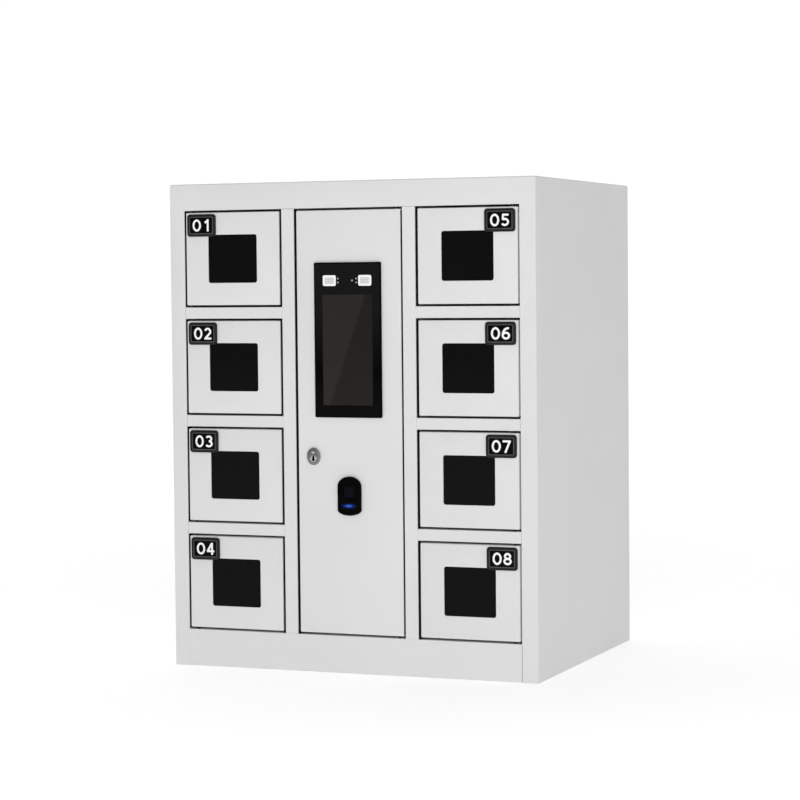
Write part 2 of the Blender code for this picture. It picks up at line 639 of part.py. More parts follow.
def reader_outline():
    """The reader's front outline: a domed top, straight sides and a shallow curved foot."""
    half_width, top = READER_WIDTH / 2, READER_Z + READER_HEIGHT / 2
    shoulder = top - READER_DOME
    foot = READER_Z - READER_HEIGHT / 2
    squash = READER_DOME / half_width
    dome = [(x, shoulder + z * squash) for x, z in arc((0, 0), half_width, 0, 180, DOME_STEPS)]
    sag_radius = (half_width**2 + READER_SAG**2) / (2 * READER_SAG)
    spread = math.degrees(math.asin(half_width / sag_radius))
    foot_arc = arc((0, foot + sag_radius), sag_radius, 270 - spread, 270 + spread, SAG_STEPS)
    return dome + foot_arc


def fingerprint_reader(hinge):
    """Fingerprint reader with a hollow for the finger in its front, and its module behind the door."""
    face = FRONT - PROUD
    adds = [
        outline_plate(reader_outline(), (face, FRONT - CLEAR)),
        slab((0, READER_Z), READER_CUT, (face + NECK_SETBACK, FRONT + READER_REACH)),
    ]
    cuts = [rod((0, face - HOLLOW_RADIUS + HOLLOW_DEPTH, 0), HOLLOW_RADIUS, HOLLOW_Z, 2)]
    mesh = merged("fingerprint_reader", adds, cuts)
    new_part("fingerprint_reader", mesh, "black_plastic", (0, 0, 0), hinge)


def cam_lock(hinge):
    """Cam lock: an oval-faced barrel with its nut, and the plug that turns in it and carries the cam."""
    face = FRONT - CLEAR
    oval_z = LOCK_Z + OVAL_LIFT
    end = FRONT + BARREL_END
    oval = rod((LOCK_X, 0, oval_z), OVAL_SIZE.x / 2, (face - OVAL_PROUD, face), 1, OVAL_SIZE.y / OVAL_SIZE.x)
    adds = [
        oval,
        rod((LOCK_X, 0, LOCK_Z), BARREL_RADIUS, (face - MM, end), 1),
        rod((LOCK_X, 0, LOCK_Z), NUT_RADIUS, (FRONT + SHEET + CLEAR, FRONT + SHEET + CLEAR + NUT_THICK), 1),
    ]
    bore = rod((LOCK_X, 0, LOCK_Z), PLUG_RADIUS + PLUG_CLEAR, (face - 2 * OVAL_PROUD, end + MM), 1)
    new_part("cam_lock_barrel", merged("cam_lock_barrel", adds, [bore]), "chrome", (0, 0, 0), hinge)

    axis = Vector((LOCK_X, FRONT, LOCK_Z))
    plug_face = -CLEAR - OVAL_PROUD
    cam_y = (CAM_START, CAM_START + CAM_THICK)
    keyway_width, keyway_height, keyway_depth = KEYWAY
    half = CAM_WIDTH / 2
    adds = [
        rod((0, 0, 0), PLUG_RADIUS, (plug_face, cam_y[1] + MM), 1),
        block((-half, half), cam_y, (-half, CAM_LENGTH), corner=CAM_CORNER, segments=2),
    ]
    keyway = slab((0, 0), Vector((keyway_width, keyway_height)), (plug_face - MM, plug_face + keyway_depth))
    new_part("cam_lock_plug", merged("cam_lock_plug", adds, [keyway]), "zinc_plate", axis, hinge)


def control_unit():
    """Power supply and control board in one case. Its mains inlet fills a hole in the back panel."""
    width, deep, high = UNIT_SIZE
    rear = REAR - SHEET - CLEAR
    inlet_face = REAR - CLEAR
    socket_width, socket_height, socket_depth = INLET_SOCKET
    adds = [
        block((-width / 2, width / 2), (rear - deep, rear), (UNIT_Z - high / 2, UNIT_Z + high / 2)),
        slab((0, INLET_Z), INLET_SIZE, (rear - MM, inlet_face), corner=INLET_CORNER, segments=2),
    ]
    socket = slab(
        (0, INLET_Z), Vector((socket_width, socket_height)), (inlet_face - socket_depth, inlet_face + MM)
    )
    mesh = merged("power_control_unit", adds, [socket])
    new_part("power_control_unit", mesh, "unit_case")


def build():
    cabinet_shell()
    base_panel()
    back_panel()
    shelves()
    for side in (-1, 1):
        partition(side)
        charging_panel(side)
    doors()
    locks()
    hinge = new_empty("control_hinge", (CONTROL_PIN, PIN_Y, CONTROL_Z))
    control_door(hinge)
    face_terminal(hinge)
    fingerprint_reader(hinge)
    cam_lock(hinge)
    control_unit()


for leftover in list(bpy.data.objects):
    bpy.data.objects.remove(leftover)
KIOSK = new_collection("phone_charging_kiosk")
CUTTERS = new_collection("cutters")
for material_name, look in MATERIALS.items():
    new_material(material_name, *look)
build()
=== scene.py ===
"""Looks of the phone charging kiosk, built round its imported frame.

Every piece stands where the frame says and rides on one of its bodies.
Lengths are in metres, and fronts face -Y.
"""

import json
import math

import bmesh
import bpy
from mathutils import Matrix, Vector


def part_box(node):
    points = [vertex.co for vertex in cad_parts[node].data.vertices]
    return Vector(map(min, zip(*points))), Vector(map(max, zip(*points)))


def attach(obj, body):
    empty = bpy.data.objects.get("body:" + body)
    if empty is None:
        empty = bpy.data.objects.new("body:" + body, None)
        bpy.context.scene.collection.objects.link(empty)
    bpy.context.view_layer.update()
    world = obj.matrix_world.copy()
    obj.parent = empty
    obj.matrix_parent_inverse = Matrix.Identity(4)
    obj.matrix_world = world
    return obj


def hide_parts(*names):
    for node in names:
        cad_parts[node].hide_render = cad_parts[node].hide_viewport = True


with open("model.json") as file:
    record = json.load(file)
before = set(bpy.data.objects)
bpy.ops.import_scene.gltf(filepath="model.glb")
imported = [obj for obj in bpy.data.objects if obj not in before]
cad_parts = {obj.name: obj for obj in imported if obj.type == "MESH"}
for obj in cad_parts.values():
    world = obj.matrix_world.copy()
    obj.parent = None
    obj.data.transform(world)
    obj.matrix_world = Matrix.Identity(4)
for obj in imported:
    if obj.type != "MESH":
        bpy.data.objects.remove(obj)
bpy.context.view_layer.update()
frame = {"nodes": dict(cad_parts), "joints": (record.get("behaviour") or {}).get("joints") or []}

MM = 0.001


def mm(*lengths):
    return [length * MM for length in lengths]


def both(x):
    return (-x, x)


def sided(side, *values):
    """The right column's X values, or the left one's where side is -1."""
    return [side * value for value in values]


def inset(size, border):
    """A size (width, height) less a border on each side."""
    return Vector(size) - Vector((border, border)) * 2


# Sizes taken from the frame. Those of a side column are the right one's, and the left one mirrors it.
SHELL_LOW, SHELL_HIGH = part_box("cabinet_shell")
FRONT, BACK = SHELL_LOW.y, SHELL_HIGH.y
HALF_WIDTH, HEIGHT = SHELL_HIGH.x, SHELL_HIGH.z
REAR_LOW, REAR_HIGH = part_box("back_panel")
SHEET = REAR_HIGH.y - REAR_LOW.y
DIVIDER_IN, DIVIDER_OUT = (corner.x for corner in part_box("right_partition"))
BASE_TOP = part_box("base_panel")[1].z
SHELF_1, SHELF_2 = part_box("right_shelf_1"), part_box("right_shelf_2")
ROW_OPENING = SHELF_1[0].z - SHELF_2[1].z
HEADER_Z = SHELF_1[1].z + ROW_OPENING
DOOR_LOW, DOOR_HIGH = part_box("door_05")
WINDOW_LOW, WINDOW_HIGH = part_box("window_05")
PLATE_LOW, PLATE_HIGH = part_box("number_plate_05")
BOLT_LOW, BOLT_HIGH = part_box("lock_bolt_05")
LOCK_LOW, LOCK_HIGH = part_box("lock_body_05")
CHARGER_LOW, CHARGER_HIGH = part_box("right_charging_panel")
CONTROL_LOW, CONTROL_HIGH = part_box("control_door")
TERMINAL_LOW, TERMINAL_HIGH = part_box("terminal_case")
GLASS_LOW, GLASS_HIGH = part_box("terminal_glass")
READER_LOW, READER_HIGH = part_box("fingerprint_reader")
BARREL_LOW, BARREL_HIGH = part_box("cam_lock_barrel")
PLUG_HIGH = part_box("cam_lock_plug")[1]
UNIT_LOW, UNIT_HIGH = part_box("power_control_unit")
JOINTS = {j["name"]: Vector(j["pos_m"]) for j in frame["joints"] if "pos_m" in j}
LOCK_AXIS = JOINTS["cam_lock_turn"]
NUMBERS = [f"{i:02d}" for i in range(1, 9)]
ROW_Z = {number: JOINTS[f"door_{number}_hinge"].z for number in NUMBERS}
SIDE = {number: math.copysign(1, JOINTS[f"door_{number}_hinge"].x) for number in NUMBERS}
CONTROL_BODY = "control_door_assembly"

OVER = 1 * MM  # how far a cut reaches past what it cuts
CLEAR = 0.3 * MM  # between parts that touch
LAP = 1 * MM  # how far a shape runs into the one that it is joined to
TINY = 0.001 * MM
SMOOTH_BELOW = math.radians(35)

# Sheet metal.
SHELL_IN = HALF_WIDTH - SHEET
STILE_IN = HALF_WIDTH - 22 * MM
JAMB, FLANGE = mm(20, 15)
BEND = 2.2 * MM  # outer radius of the cabinet's bends
ROW_GAP = 3 * MM
DOOR_DEPTH, DOOR_BEND, DOOR_LIP = mm(16, 1.3, 7)
DOOR_HALF = ROW_OPENING / 2 - ROW_GAP
DOOR_FACE = (FRONT - OVER, FRONT + 2 * SHEET)  # the reach of a cut through a door's face
PIN_RADIUS, PIN_OUT, PIN_HOLE_RADIUS = mm(2, 6.7, 2.4)


# Shapes. Each returns a helper object, which joined() uses up ----

SCENE = bpy.context.scene
HELPERS, KIOSK = (bpy.data.collections.new(name) for name in ("helpers", "kiosk"))
for collection in (HELPERS, KIOSK):
    SCENE.collection.children.link(collection)


def new_object(name, data, collection=SCENE.collection):
    """A new object in a collection."""
    made = bpy.data.objects.new(name, data)
    collection.objects.link(made)
    return made


def mesh_of(bm):
    mesh = bpy.data.meshes.new("mesh")
    bm.to_mesh(mesh)
    bm.free()
    return mesh


def helper_of(mesh):
    helper = new_object("helper", mesh, HELPERS)
    helper.hide_render = True
    return helper


def edges_along(bm, axis):
    return [e for e in bm.edges if abs((e.verts[0].co - e.verts[1].co).normalized()[axis]) > 0.99]


def round_off(bm, edges, radius, segments):
    bmesh.ops.bevel(bm, geom=edges, offset=radius, segments=segments, profile=0.5, affect="EDGES")


def round_front(bm, radius, segments=3):
    """Rounds the edges round a shape's front face."""
    front = min(v.co.y for v in bm.verts)
    edges = [e for e in bm.edges if all(v.co.y - front < TINY for v in e.verts)]
    round_off(bm, edges, radius, segments)


def block(x, y, z, corner=0.0, axis=1, segments=4, rim=0.0):
    """A box between two values on each axis. Its edges along one axis, or all if axis is None, are rounded.
    rim is the radius of the rounding round its front face."""
    bm = bmesh.new()
    bmesh.ops.create_cube(bm, size=1)
    for vert in bm.verts:
        vert.co = [max(ends) if c > 0 else min(ends) for c, ends in zip(vert.co, (x, y, z))]
    if corner:
        edges = bm.edges[:] if axis is None else edges_along(bm, axis)
        round_off(bm, edges, corner, segments)
    if rim:
        round_front(bm, rim)
    return helper_of(mesh_of(bm))


def slab(centre, size, y, **rounding):
    """A box that faces the front: its centre (x, z), its size (width, height) and its two Y values."""
    (x, z), (width, height) = centre, Vector(size) / 2
    return block((x - width, x + width), y, (z - height, z + height), **rounding)


# What turns a cylinder that stands upright onto each axis.
TURNS = Matrix.Rotation(math.pi / 2, 3, "Y"), Matrix.Rotation(-math.pi / 2, 3, "X"), Matrix.Identity(3)


def rod(centre, radius, ends, axis=1, sides=32, squash=1.0, rim=0.0):
    """A cylinder along one axis. The centre's value on that axis isn't used.
    squash is its height over its width, for an oval, and rim rounds its front face."""
    bm = bmesh.new()
    length = max(ends) - min(ends)
    bmesh.ops.create_cone(bm, cap_ends=True, segments=sides, radius1=radius, radius2=radius, depth=length)
    bmesh.ops.scale(bm, vec=(1, squash, 1), verts=bm.verts)
    bmesh.ops.rotate(bm, matrix=TURNS[axis], verts=bm.verts)
    middle = Vector(centre)
    middle[axis] = sum(ends) / 2
    bmesh.ops.translate(bm, vec=middle, verts=bm.verts)
    if rim:
        round_front(bm, rim)
    return helper_of(mesh_of(bm))


def arc(centre, radii, start, end, steps=24):
    """Points along an arc, in degrees. radii are its half width and half height."""
    angles = [math.radians(start + (end - start) * i / steps) for i in range(steps + 1)]
    return [(centre[0] + radii[0] * math.cos(a), centre[1] + radii[1] * math.sin(a)) for a in angles]


def plate(outlines, y, rim=0.0):
    """A flat plate that faces the front. Each outline, its own or a hole's, is a list of (x, z) points."""
    curve = bpy.data.curves.new("outline", "CURVE")
    curve.dimensions = "2D"
    curve.fill_mode = "BOTH"
    curve.extrude = (max(y) - min(y)) / 2
    for points in outlines:
        spline = curve.splines.new("POLY")
        spline.points.add(len(points) - 1)
        for point, (x, z) in zip(spline.points, points):
            point.co = (x, z, 0, 1)
        spline.use_cyclic_u = True
    drawn = new_object("outline", curve, HELPERS)
    graph = bpy.context.evaluated_depsgraph_get()
    mesh = bpy.data.meshes.new_from_object(drawn.evaluated_get(graph))
    bpy.data.objects.remove(drawn)
    bm = bmesh.new()
    bm.from_mesh(mesh)
    upright = Matrix.Translation((0, sum(y) / 2, 0)) @ Matrix.Rotation(math.pi / 2, 4, "X")
    bmesh.ops.transform(bm, matrix=upright, verts=bm.verts)
    bmesh.ops.remove_doubles(bm, verts=bm.verts, dist=TINY)
    bmesh.ops.dissolve_limit(bm, angle_limit=math.radians(1), verts=bm.verts, edges=bm.edges)
    if rim:
        round_front(bm, rim, 4)
    return helper_of(mesh_of(bm))


def band(points, width, closed):
    """The outlines of a stroke along (x, z) points. A closed stroke has an outer and an inner one."""
    points = [Vector(p) for p in points]
    sides = ([], [])
    for i, point in enumerate(points):
        before = points[i - 1] if i or closed else None
        after = points[(i + 1) % len(points)] if i + 1 < len(points) or closed else None
        legs = [(b - a).normalized() for a, b in ((before, point), (point, after)) if a and b]
        across = sum((leg.orthogonal() for leg in legs), Vector((0, 0))).normalized()
        reach = width / 2 / across.dot(legs[0].orthogonal())
        sides[0].append(point + across * reach)
        sides[1].append(point - across * reach)
    return sides if closed else [sides[0] + sides[1][::-1]]


def joined(adds, cuts=()):
    """One mesh: the helpers in adds joined, less those in cuts. The helpers are used up."""
    base, *others = adds
    for operation, helpers in (("UNION", others), ("DIFFERENCE", cuts)):
        if not helpers:
            continue
        group = bpy.data.collections.new(operation)
        for helper in helpers:
            group.objects.link(helper)
        modifier = base.modifiers.new(operation, "BOOLEAN")
        modifier.operation = operation
        modifier.operand_type = "COLLECTION"
        modifier.collection = group
    graph = bpy.context.evaluated_depsgraph_get()
    mesh = bpy.data.meshes.new_from_object(base.evaluated_get(graph))
    for modifier in base.modifiers:
        bpy.data.collections.remove(modifier.collection)
    for helper in (*adds, *cuts):
        bpy.data.objects.remove(helper)
    return mesh


def copies(mesh, places):
    """One mesh with a copy of another at each place, a point or a matrix."""
    bm = bmesh.new()
    for place in places:
        copy = mesh.copy()
        copy.transform(place if isinstance(place, Matrix) else Matrix.Translation(place))
        bm.from_mesh(copy)
        bpy.data.meshes.remove(copy)
    return mesh_of(bm)


# Pieces ------------------------------


def piece(name, mesh, body, material, node=None, at=(0, 0, 0), edge=0.0):
    """A shown piece that rides on a body and may replace a CAD node. Its mesh takes its material unless it
    has one already.
    edge is the width of the rounding on its sharp edges."""
    shown = new_object(name, mesh, KIOSK)
    shown.location = at
    if not mesh.materials:
        mesh.name = name
        mesh.materials.append(material)
        mesh.shade_smooth()
        mesh.set_sharp_from_angle(angle=SMOOTH_BELOW)
    if edge:
        round_edges(shown, edge)
    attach(shown, body)
    if node:
        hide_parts(node)


def round_edges(shown, width):
    bevel = shown.modifiers.new("round_edges", "BEVEL")
    bevel.width = width
    bevel.segments = 2
    bevel.limit_method = "ANGLE"
    bevel.angle_limit = SMOOTH_BELOW
    bevel.harden_normals = True


def soften(node, material, width):
    """Keeps a CAD node, with its sharp edges rounded, and gives it a material."""
    shown = frame["nodes"][node]
    for slot in shown.material_slots:
        slot.material = material
    weld = shown.modifiers.new("weld", "WELD")
    weld.merge_threshold = 0.01 * MM
    round_edges(shown, width)


# Materials ---------------------------


class Tree:
    """A node tree, with short calls to add nodes, and to set or link their inputs."""

    def __init__(self, owner):
        owner.use_nodes = True
        self.tree = owner.node_tree

    def feed(self, node, inputs):
        """Links each named input to another node's output, or sets its value."""
        for key, value in inputs.items():
            if isinstance(value, bpy.types.NodeSocket):
                self.tree.links.new(value, node.inputs[key])
            else:
                node.inputs[key].default_value = value

    def add(self, kind, inputs=None, **settings):
        node = self.tree.nodes.new(kind)
        for key, value in settings.items():
            setattr(node, key, value)
        self.feed(node, inputs or {})
        return node

    def spread(self, value, start, end, low=0.0, high=1.0, **settings):
        """Maps the range from start to end onto the one from low to high."""
        inputs = {"Value": value, "From Min": start, "From Max": end, "To Min": low, "To Max": high}
        return self.add("ShaderNodeMapRange", inputs, **settings).outputs["Result"]


class Nodes(Tree):
    """A material's node tree."""

    def __init__(self, name, colour, roughness, metallic=0.0, specular=0.5):
        self.material = bpy.data.materials.new(name)
        super().__init__(self.material)
        self.shader = self.tree.nodes["Principled BSDF"]
        self.place = self.add("ShaderNodeTexCoord").outputs["Object"]
        inputs = {"Roughness": roughness, "Metallic": metallic, "Specular IOR Level": specular}
        self.feed(self.shader, {"Base Color": self.colour(colour), **inputs})

    def moved(self, stretch=(1, 1, 1), offset=(0, 0, 0), turn=(0, 0, 0)):
        inputs = {"Scale": stretch, "Location": offset, "Rotation": turn, "Vector": self.place}
        return self.add("ShaderNodeMapping", inputs).outputs["Vector"]

    def noise(self, scale, detail=3.0, stretch=(1, 1, 1)):
        inputs = {"Scale": scale, "Detail": detail, "Vector": self.moved(stretch)}
        return self.add("ShaderNodeTexNoise", inputs).outputs["Fac"]

    def cells(self, scale):
        cells = self.add("ShaderNodeTexVoronoi", {"Scale": scale, "Vector": self.place})
        return self.add("ShaderNodeSeparateColor", {"Color": cells.outputs["Color"]}).outputs["Red"]

    def along(self, axis, start, end, turn=(0, 0, 0)):
        """0 at start and 1 at end along one axis of the piece's own space."""
        parts = self.add("ShaderNodeSeparateXYZ", {"Vector": self.moved(turn=turn)})
        return self.spread(parts.outputs[axis], start, end)

    def distance(self, **mapping):
        """The distance from the origin of the piece's own space, once that is moved and scaled."""
        length = self.add("ShaderNodeVectorMath", {0: self.moved(**mapping)}, operation="LENGTH")
        return length.outputs["Value"]

    def ramp(self, source, low, high, start=0.3, end=0.7):
        """Maps a 0 to 1 value to a range between two colours or two numbers."""
        ramp = self.add("ShaderNodeValToRGB", {"Fac": source})
        first, last = ramp.color_ramp.elements
        first.position, last.position = start, end
        first.color, last.color = self.colour(low), self.colour(high)
        return ramp.outputs["Color"]

    @staticmethod
    def colour(value):
        """A colour, or the grey that a number stands for."""
        return (value, value, value, 1) if isinstance(value, (int, float)) else (*value, 1)

    def vary_colour(self, source, low, high, start=0.3, end=0.7):
        self.feed(self.shader, {"Base Color": self.ramp(source, low, high, start, end)})

    def vary_roughness(self, source, low, high):
        self.feed(self.shader, {"Roughness": self.ramp(source, low, high)})

    def bump(self, *layers):
        """layers are (height, depth in metres), and later ones lie on earlier ones."""
        below = {}
        for height, depth in layers:
            layer = self.add("ShaderNodeBump", {"Height": height, "Distance": depth, **below})
            below = {"Normal": layer.outputs["Normal"]}
        self.feed(self.shader, below)


def powder_coat():
    """Light grey powder coat: a fine orange peel over sheet steel, with slow changes of tone."""
    nodes = Nodes("powder_coat", 0.76, 0.42)
    nodes.vary_colour(nodes.noise(6), (0.745, 0.748, 0.75), (0.775, 0.775, 0.772))
    nodes.vary_roughness(nodes.noise(25), 0.38, 0.47)
    nodes.bump((nodes.noise(700, 2), 0.02 * MM), (nodes.noise(2600, 1), 0.006 * MM))
    return nodes.material


def moulded(name, low, high, roughness, specular=0.5, grain=0.012 * MM):
    """Moulded plastic: a fine spark-eroded grain, and faint changes of tone and gloss."""
    nodes = Nodes(name, low, roughness, specular=specular)
    nodes.vary_colour(nodes.noise(40), low, high)
    nodes.vary_roughness(nodes.noise(90), roughness * 0.85, roughness * 1.15)
    nodes.bump((nodes.noise(2200, 2), grain))
    return nodes.material


def polished(name, low, high, roughness, specular, sheen_heights=None):
    """Glass or acrylic: smooth, with faint smears in its gloss and a very slight waviness.
    sheen_heights is the two heights between which a painted reflection goes from low to high."""
    nodes = Nodes(name, low, roughness, specular=specular)
    nodes.vary_colour(nodes.along("Z", *sheen_heights) if sheen_heights else nodes.noise(12), low, high)
    nodes.vary_roughness(nodes.noise(14, 5, (1, 1, 3)), roughness * 0.7, roughness * 1.5)
    nodes.bump((nodes.noise(9, 1), 0.02 * MM))
    return nodes.material


def zinc_plate():
    """Zinc-plated steel, with its faint spangle."""
    nodes = Nodes("zinc_plate", (0.5, 0.51, 0.54), 0.36, 1.0)
    nodes.vary_colour(nodes.cells(260), (0.44, 0.46, 0.5), (0.6, 0.61, 0.62), 0.0, 1.0)
    nodes.vary_roughness(nodes.noise(180, 4), 0.28, 0.46)
    nodes.bump((nodes.noise(900, 3), 0.006 * MM))
    return nodes.material


def cast_metal(name, low, high, roughness):
    """Plated metal with a satin surface and slightly uneven tone."""
    nodes = Nodes(name, low, roughness, 1.0)
    nodes.vary_colour(nodes.noise(150, 4), low, high)
    nodes.vary_roughness(nodes.noise(400, 3), roughness * 0.8, roughness * 1.25)
    nodes.bump((nodes.noise(1200, 2), 0.004 * MM))
    return nodes.material


def dark_screen():
    """Sleeping display: a warm dark grey with a painted reflection, lighter towards its upper left beyond a
    soft diagonal step, and a fine pixel structure.
    """
    nodes = Nodes("dark_screen", (0.02, 0.017, 0.016), 0.16, specular=0.15)
    # Painted reflection: the screen's grey is lighter on the upper left side of a soft diagonal step.
    sheen_step = nodes.along("X", -2 * MM, 2 * MM, (0, math.radians(-19.4), 0))
    nodes.vary_colour(sheen_step, (0.0225, 0.0185, 0.0165), (0.0135, 0.0105, 0.0092), 0.0, 1.0)
    nodes.bump((nodes.noise(4000, 0), 0.001 * MM))
    return nodes.material


def glowing(name, grey, strength, grid):
    """Lit diffuser over a grid of emitters."""
    nodes = Nodes(name, grey, 0.5)
    spots = nodes.ramp(nodes.noise(grid, 0), low=grey * 0.86, high=grey)
    nodes.feed(nodes.shader, {"Emission Strength": strength, "Emission Color": spots})
    return nodes.material


def blue_glow(name, half_width, half_height, strength):
    """Black window that glows blue about its middle and fades out towards its edges. Over the reader's lamp
    this is a lamp; on the sensor window it is the lamp's light, painted on as a glow.
    """
    nodes = Nodes(name, (0.002, 0.002, 0.004), 0.15, specular=0.05)
    reach = nodes.distance(stretch=(1 / half_width, 0, 1 / half_height))
    glow = nodes.add("ShaderNodeValToRGB", {"Fac": reach})
    stops = glow.color_ramp.elements
    stops[0].color, stops[1].color = nodes.colour((0.05, 0.15, 0.55)), nodes.colour(0)
    stops.new(0.35).color = nodes.colour((0.02, 0.08, 0.42))
    stops.new(0.6).color = nodes.colour((0.0, 0.01, 0.12))
    nodes.feed(nodes.shader, {"Emission Strength": strength, "Emission Color": glow.outputs["Color"]})
    nodes.vary_roughness(nodes.noise(80), 0.1, 0.2)
    return nodes.material


PAINT = powder_coat()
BLACK = moulded("black_plastic", (0.012, 0.012, 0.0122), (0.016, 0.016, 0.0162), 0.4, 0.3)
JET = moulded("jet_plastic", (0.0013, 0.0013, 0.0014), (0.0022, 0.0022, 0.0023), 0.36, 0.02)
# The near-black of the strips in the door gaps and in one seam is painted shade.
GAP_SHADE_BLACK = moulded("gap_shade_black", 0.004, 0.006, 0.8, 0.05)
RIM = moulded("plate_plastic", (0.008, 0.008, 0.0083), (0.013, 0.013, 0.0133), 0.38, 0.2)
# The bead's lighter grey, set between the dark rim and the black field, is a painted highlight along it.
BEAD_HIGHLIGHT_GREY = moulded("plate_bead", (0.05, 0.05, 0.051), (0.066, 0.066, 0.068), 0.35)
FIELD = moulded("plate_field", 0.001, 0.0016, 0.3, 0.05)
DIGIT_WHITE = moulded("digit_paint", 0.92, 0.97, 0.45, 0.4, 0.004 * MM)
ACRYLIC = polished("smoked_acrylic", (0.0038, 0.0038, 0.004), (0.0048, 0.0048, 0.005), 0.1, 0.05)
# The screen glass is painted lighter towards its top: a painted reflection.
GLASS = polished("screen_glass", 0.0008, 0.0085, 0.08, 0.06, (GLASS_LOW.z, GLASS_HIGH.z))
ZINC = zinc_plate()
NICKEL = cast_metal("dark_nickel", (0.2, 0.2, 0.205), (0.27, 0.27, 0.275), 0.34)
# The hinge pins' near-black is painted shade: they stand in the gaps above and below the doors.
PIN_SHADE_STEEL = cast_metal("pin_steel", 0.03, 0.05, 0.45)
PLUG_METAL = cast_metal("plug_metal", (0.5, 0.5, 0.51), (0.6, 0.6, 0.61), 0.3)
BRIGHT = cast_metal("bright_nickel", (0.6, 0.6, 0.61), (0.7, 0.7, 0.71), 0.22)
CASE = moulded("unit_case", (0.045, 0.046, 0.05), (0.055, 0.056, 0.06), 0.5)
TONGUE = moulded("port_tongue", 0.5, 0.6, 0.4)
SCREEN = dark_screen()
LAMP_FRAME = moulded("lamp_frame", 0.93, 0.97, 0.4)
LAMP = glowing("lamp_diffuser", 0.5, 0.2, 900)
EMITTER = moulded("lamp_emitter", (0.8, 0.8, 0.78), (0.88, 0.88, 0.85), 0.4)
LED = blue_glow("led_window", 11 * MM, 3.6 * MM, 1.0)
# The sensor window's dim blue glow is painted: the reader lamp's light, spread from its lower edge.
SENSOR_PAINTED_GLOW = blue_glow("sensor_window", 12 * MM, 1.6 * MM, 0.06)


# Cabinet -----------------------------

# What is taken off the right stile's edge beside the base rail.
SEAM_CUT, SEAM_DEEP, SEAM_TOP = *mm(0.15, 0.9), BASE_TOP - 1 * MM
BACK_SCREWS, FIRST_SCREW = 6, 60 * MM  # on each side, and the lowest one's height on the back panel
BACK_SCREW, SOCKET_SCREW, LOCK_SCREW = mm(3.4, 1.3), mm(1.5, 0.7), mm(2, 1.2)  # each head's radius and height


def cabinet_shell():
    """Sides, top and front frame, folded from sheet with round bends, and flanges for the back panel."""
    past = BACK + 3 * BEND
    outer = block(both(HALF_WIDTH), (FRONT, BACK + 2 * BEND), (-2 * BEND, HEIGHT), corner=BEND, axis=None)
    inside_y, inside_z = (FRONT + SHEET, BACK + 4 * BEND), (-4 * BEND, HEIGHT - SHEET)
    cuts = [
        block(both(HALF_WIDTH + OVER), (FRONT - OVER, past), (-3 * BEND, 0)),
        block(both(HALF_WIDTH + OVER), (BACK, past), (-3 * BEND, HEIGHT + OVER)),
        block(both(SHELL_IN), inside_y, inside_z, corner=BEND - SHEET, axis=None),
        block(both(STILE_IN), DOOR_FACE, (-3 * BEND, HEADER_Z)),
    ]
    adds = [helper_of(joined([outer], cuts))]
    rear = (REAR_LOW.y - CLEAR - SHEET, REAR_LOW.y - CLEAR)
    jamb = (FRONT + SHEET / 2, FRONT + JAMB)
    for side in (-1, 1):
        flange = sided(side, SHELL_IN - FLANGE, SHELL_IN + SHEET / 2)
        adds.append(block(sided(side, STILE_IN, STILE_IN + SHEET), jamb, (0, HEADER_Z + SHEET)))
        adds.append(block(flange, rear, (BASE_TOP + SHEET, HEIGHT - SHEET / 2)))
    adds.append(block(both(STILE_IN), jamb, (HEADER_Z, HEADER_Z + SHEET)))
    adds.append(block(both(SHELL_IN), rear, (HEIGHT - SHEET - FLANGE, HEIGHT - SHEET / 2)))
    lip = (HEADER_Z - SHEET, HEADER_Z + 2 * SHEET)
    hinges = ("door_01_hinge", "door_05_hinge", "control_door_hinge")
    holes = [rod(JOINTS[hinge], PIN_HOLE_RADIUS, lip, axis=2) for hinge in hinges]
    seam_x, seam_y = (STILE_IN - OVER, STILE_IN + SEAM_CUT), (FRONT - OVER, FRONT + SEAM_DEEP)
    seam = block(seam_x, seam_y, (-OVER, SEAM_TOP))
    mesh = joined(adds, [*holes, seam])
    piece("cabinet_shell_folded", mesh, "cabinet", PAINT, "cabinet_shell", edge=0.3 * MM)


def screw(radius, height):
    """A pan-head screw with a cross recess that faces the front, its seat at y = 0."""
    length, width, recess = radius * 1.2, radius * 0.28, (-height - OVER, -height * 0.35)
    cuts = [slab((0, 0), size, recess) for size in ((length, width), (width, length))]
    return joined([rod((0, 0, 0), radius, (-height, 0), sides=24, rim=height * 0.6)], cuts)


def back_screws():
    """Screws that hold the back panel on the shell's flanges."""
    x, low, high = SHELL_IN - FLANGE / 2, REAR_LOW.z + FIRST_SCREW, REAR_HIGH.z - FLANGE / 2
    heights = [low + (high - low) * i / (BACK_SCREWS - 1) for i in range(BACK_SCREWS)]
    places = [(px, z) for px in both(x) for z in heights] + [(px, high) for px in both(x / 3)]
    about = Matrix.Rotation(math.pi, 4, "Z")
    turned = [Matrix.Translation((px, REAR_HIGH.y, pz)) @ about for px, pz in places]
    piece("back_panel_screws", copies(screw(*BACK_SCREW), turned), "cabinet", ZINC)


# Charging columns --------------------

# A socket's size, the hole behind it, the box round its ports and the sunk field on its front.
SOCKET_SIZE, SOCKET_HOLE, SOCKET_BOX, SOCKET_FIELD = mm(46, 24), mm(40, 20), mm(39, 19), mm(37, 15)
SOCKET_RAISED, FIELD_SUNK, SOCKET_SCREW_X = mm(4, 0.5, 20.6)
CHARGER_Y = CHARGER_LOW.y + SOCKET_RAISED
PORT_SIZE, PORT_DEPTH, PORTS = mm(12.6, 5), 9 * MM, both(10.5 * MM)
LINING_WALL, LINING_SUNK, LINING_LENGTH, LINING_END = mm(0.35, 0.55, 8, 0.5)
TONGUE_SIZE, TONGUE_Y, TONGUE_LIFT = mm(11, 1.8), mm(-2.6, 4.8), 0.7 * MM
CONTACT_SIZE, CONTACT_Y, CONTACT_PITCH, CONTACTS = mm(1.2, 0.3), mm(-2.2, 4), 2.5 * MM, 4


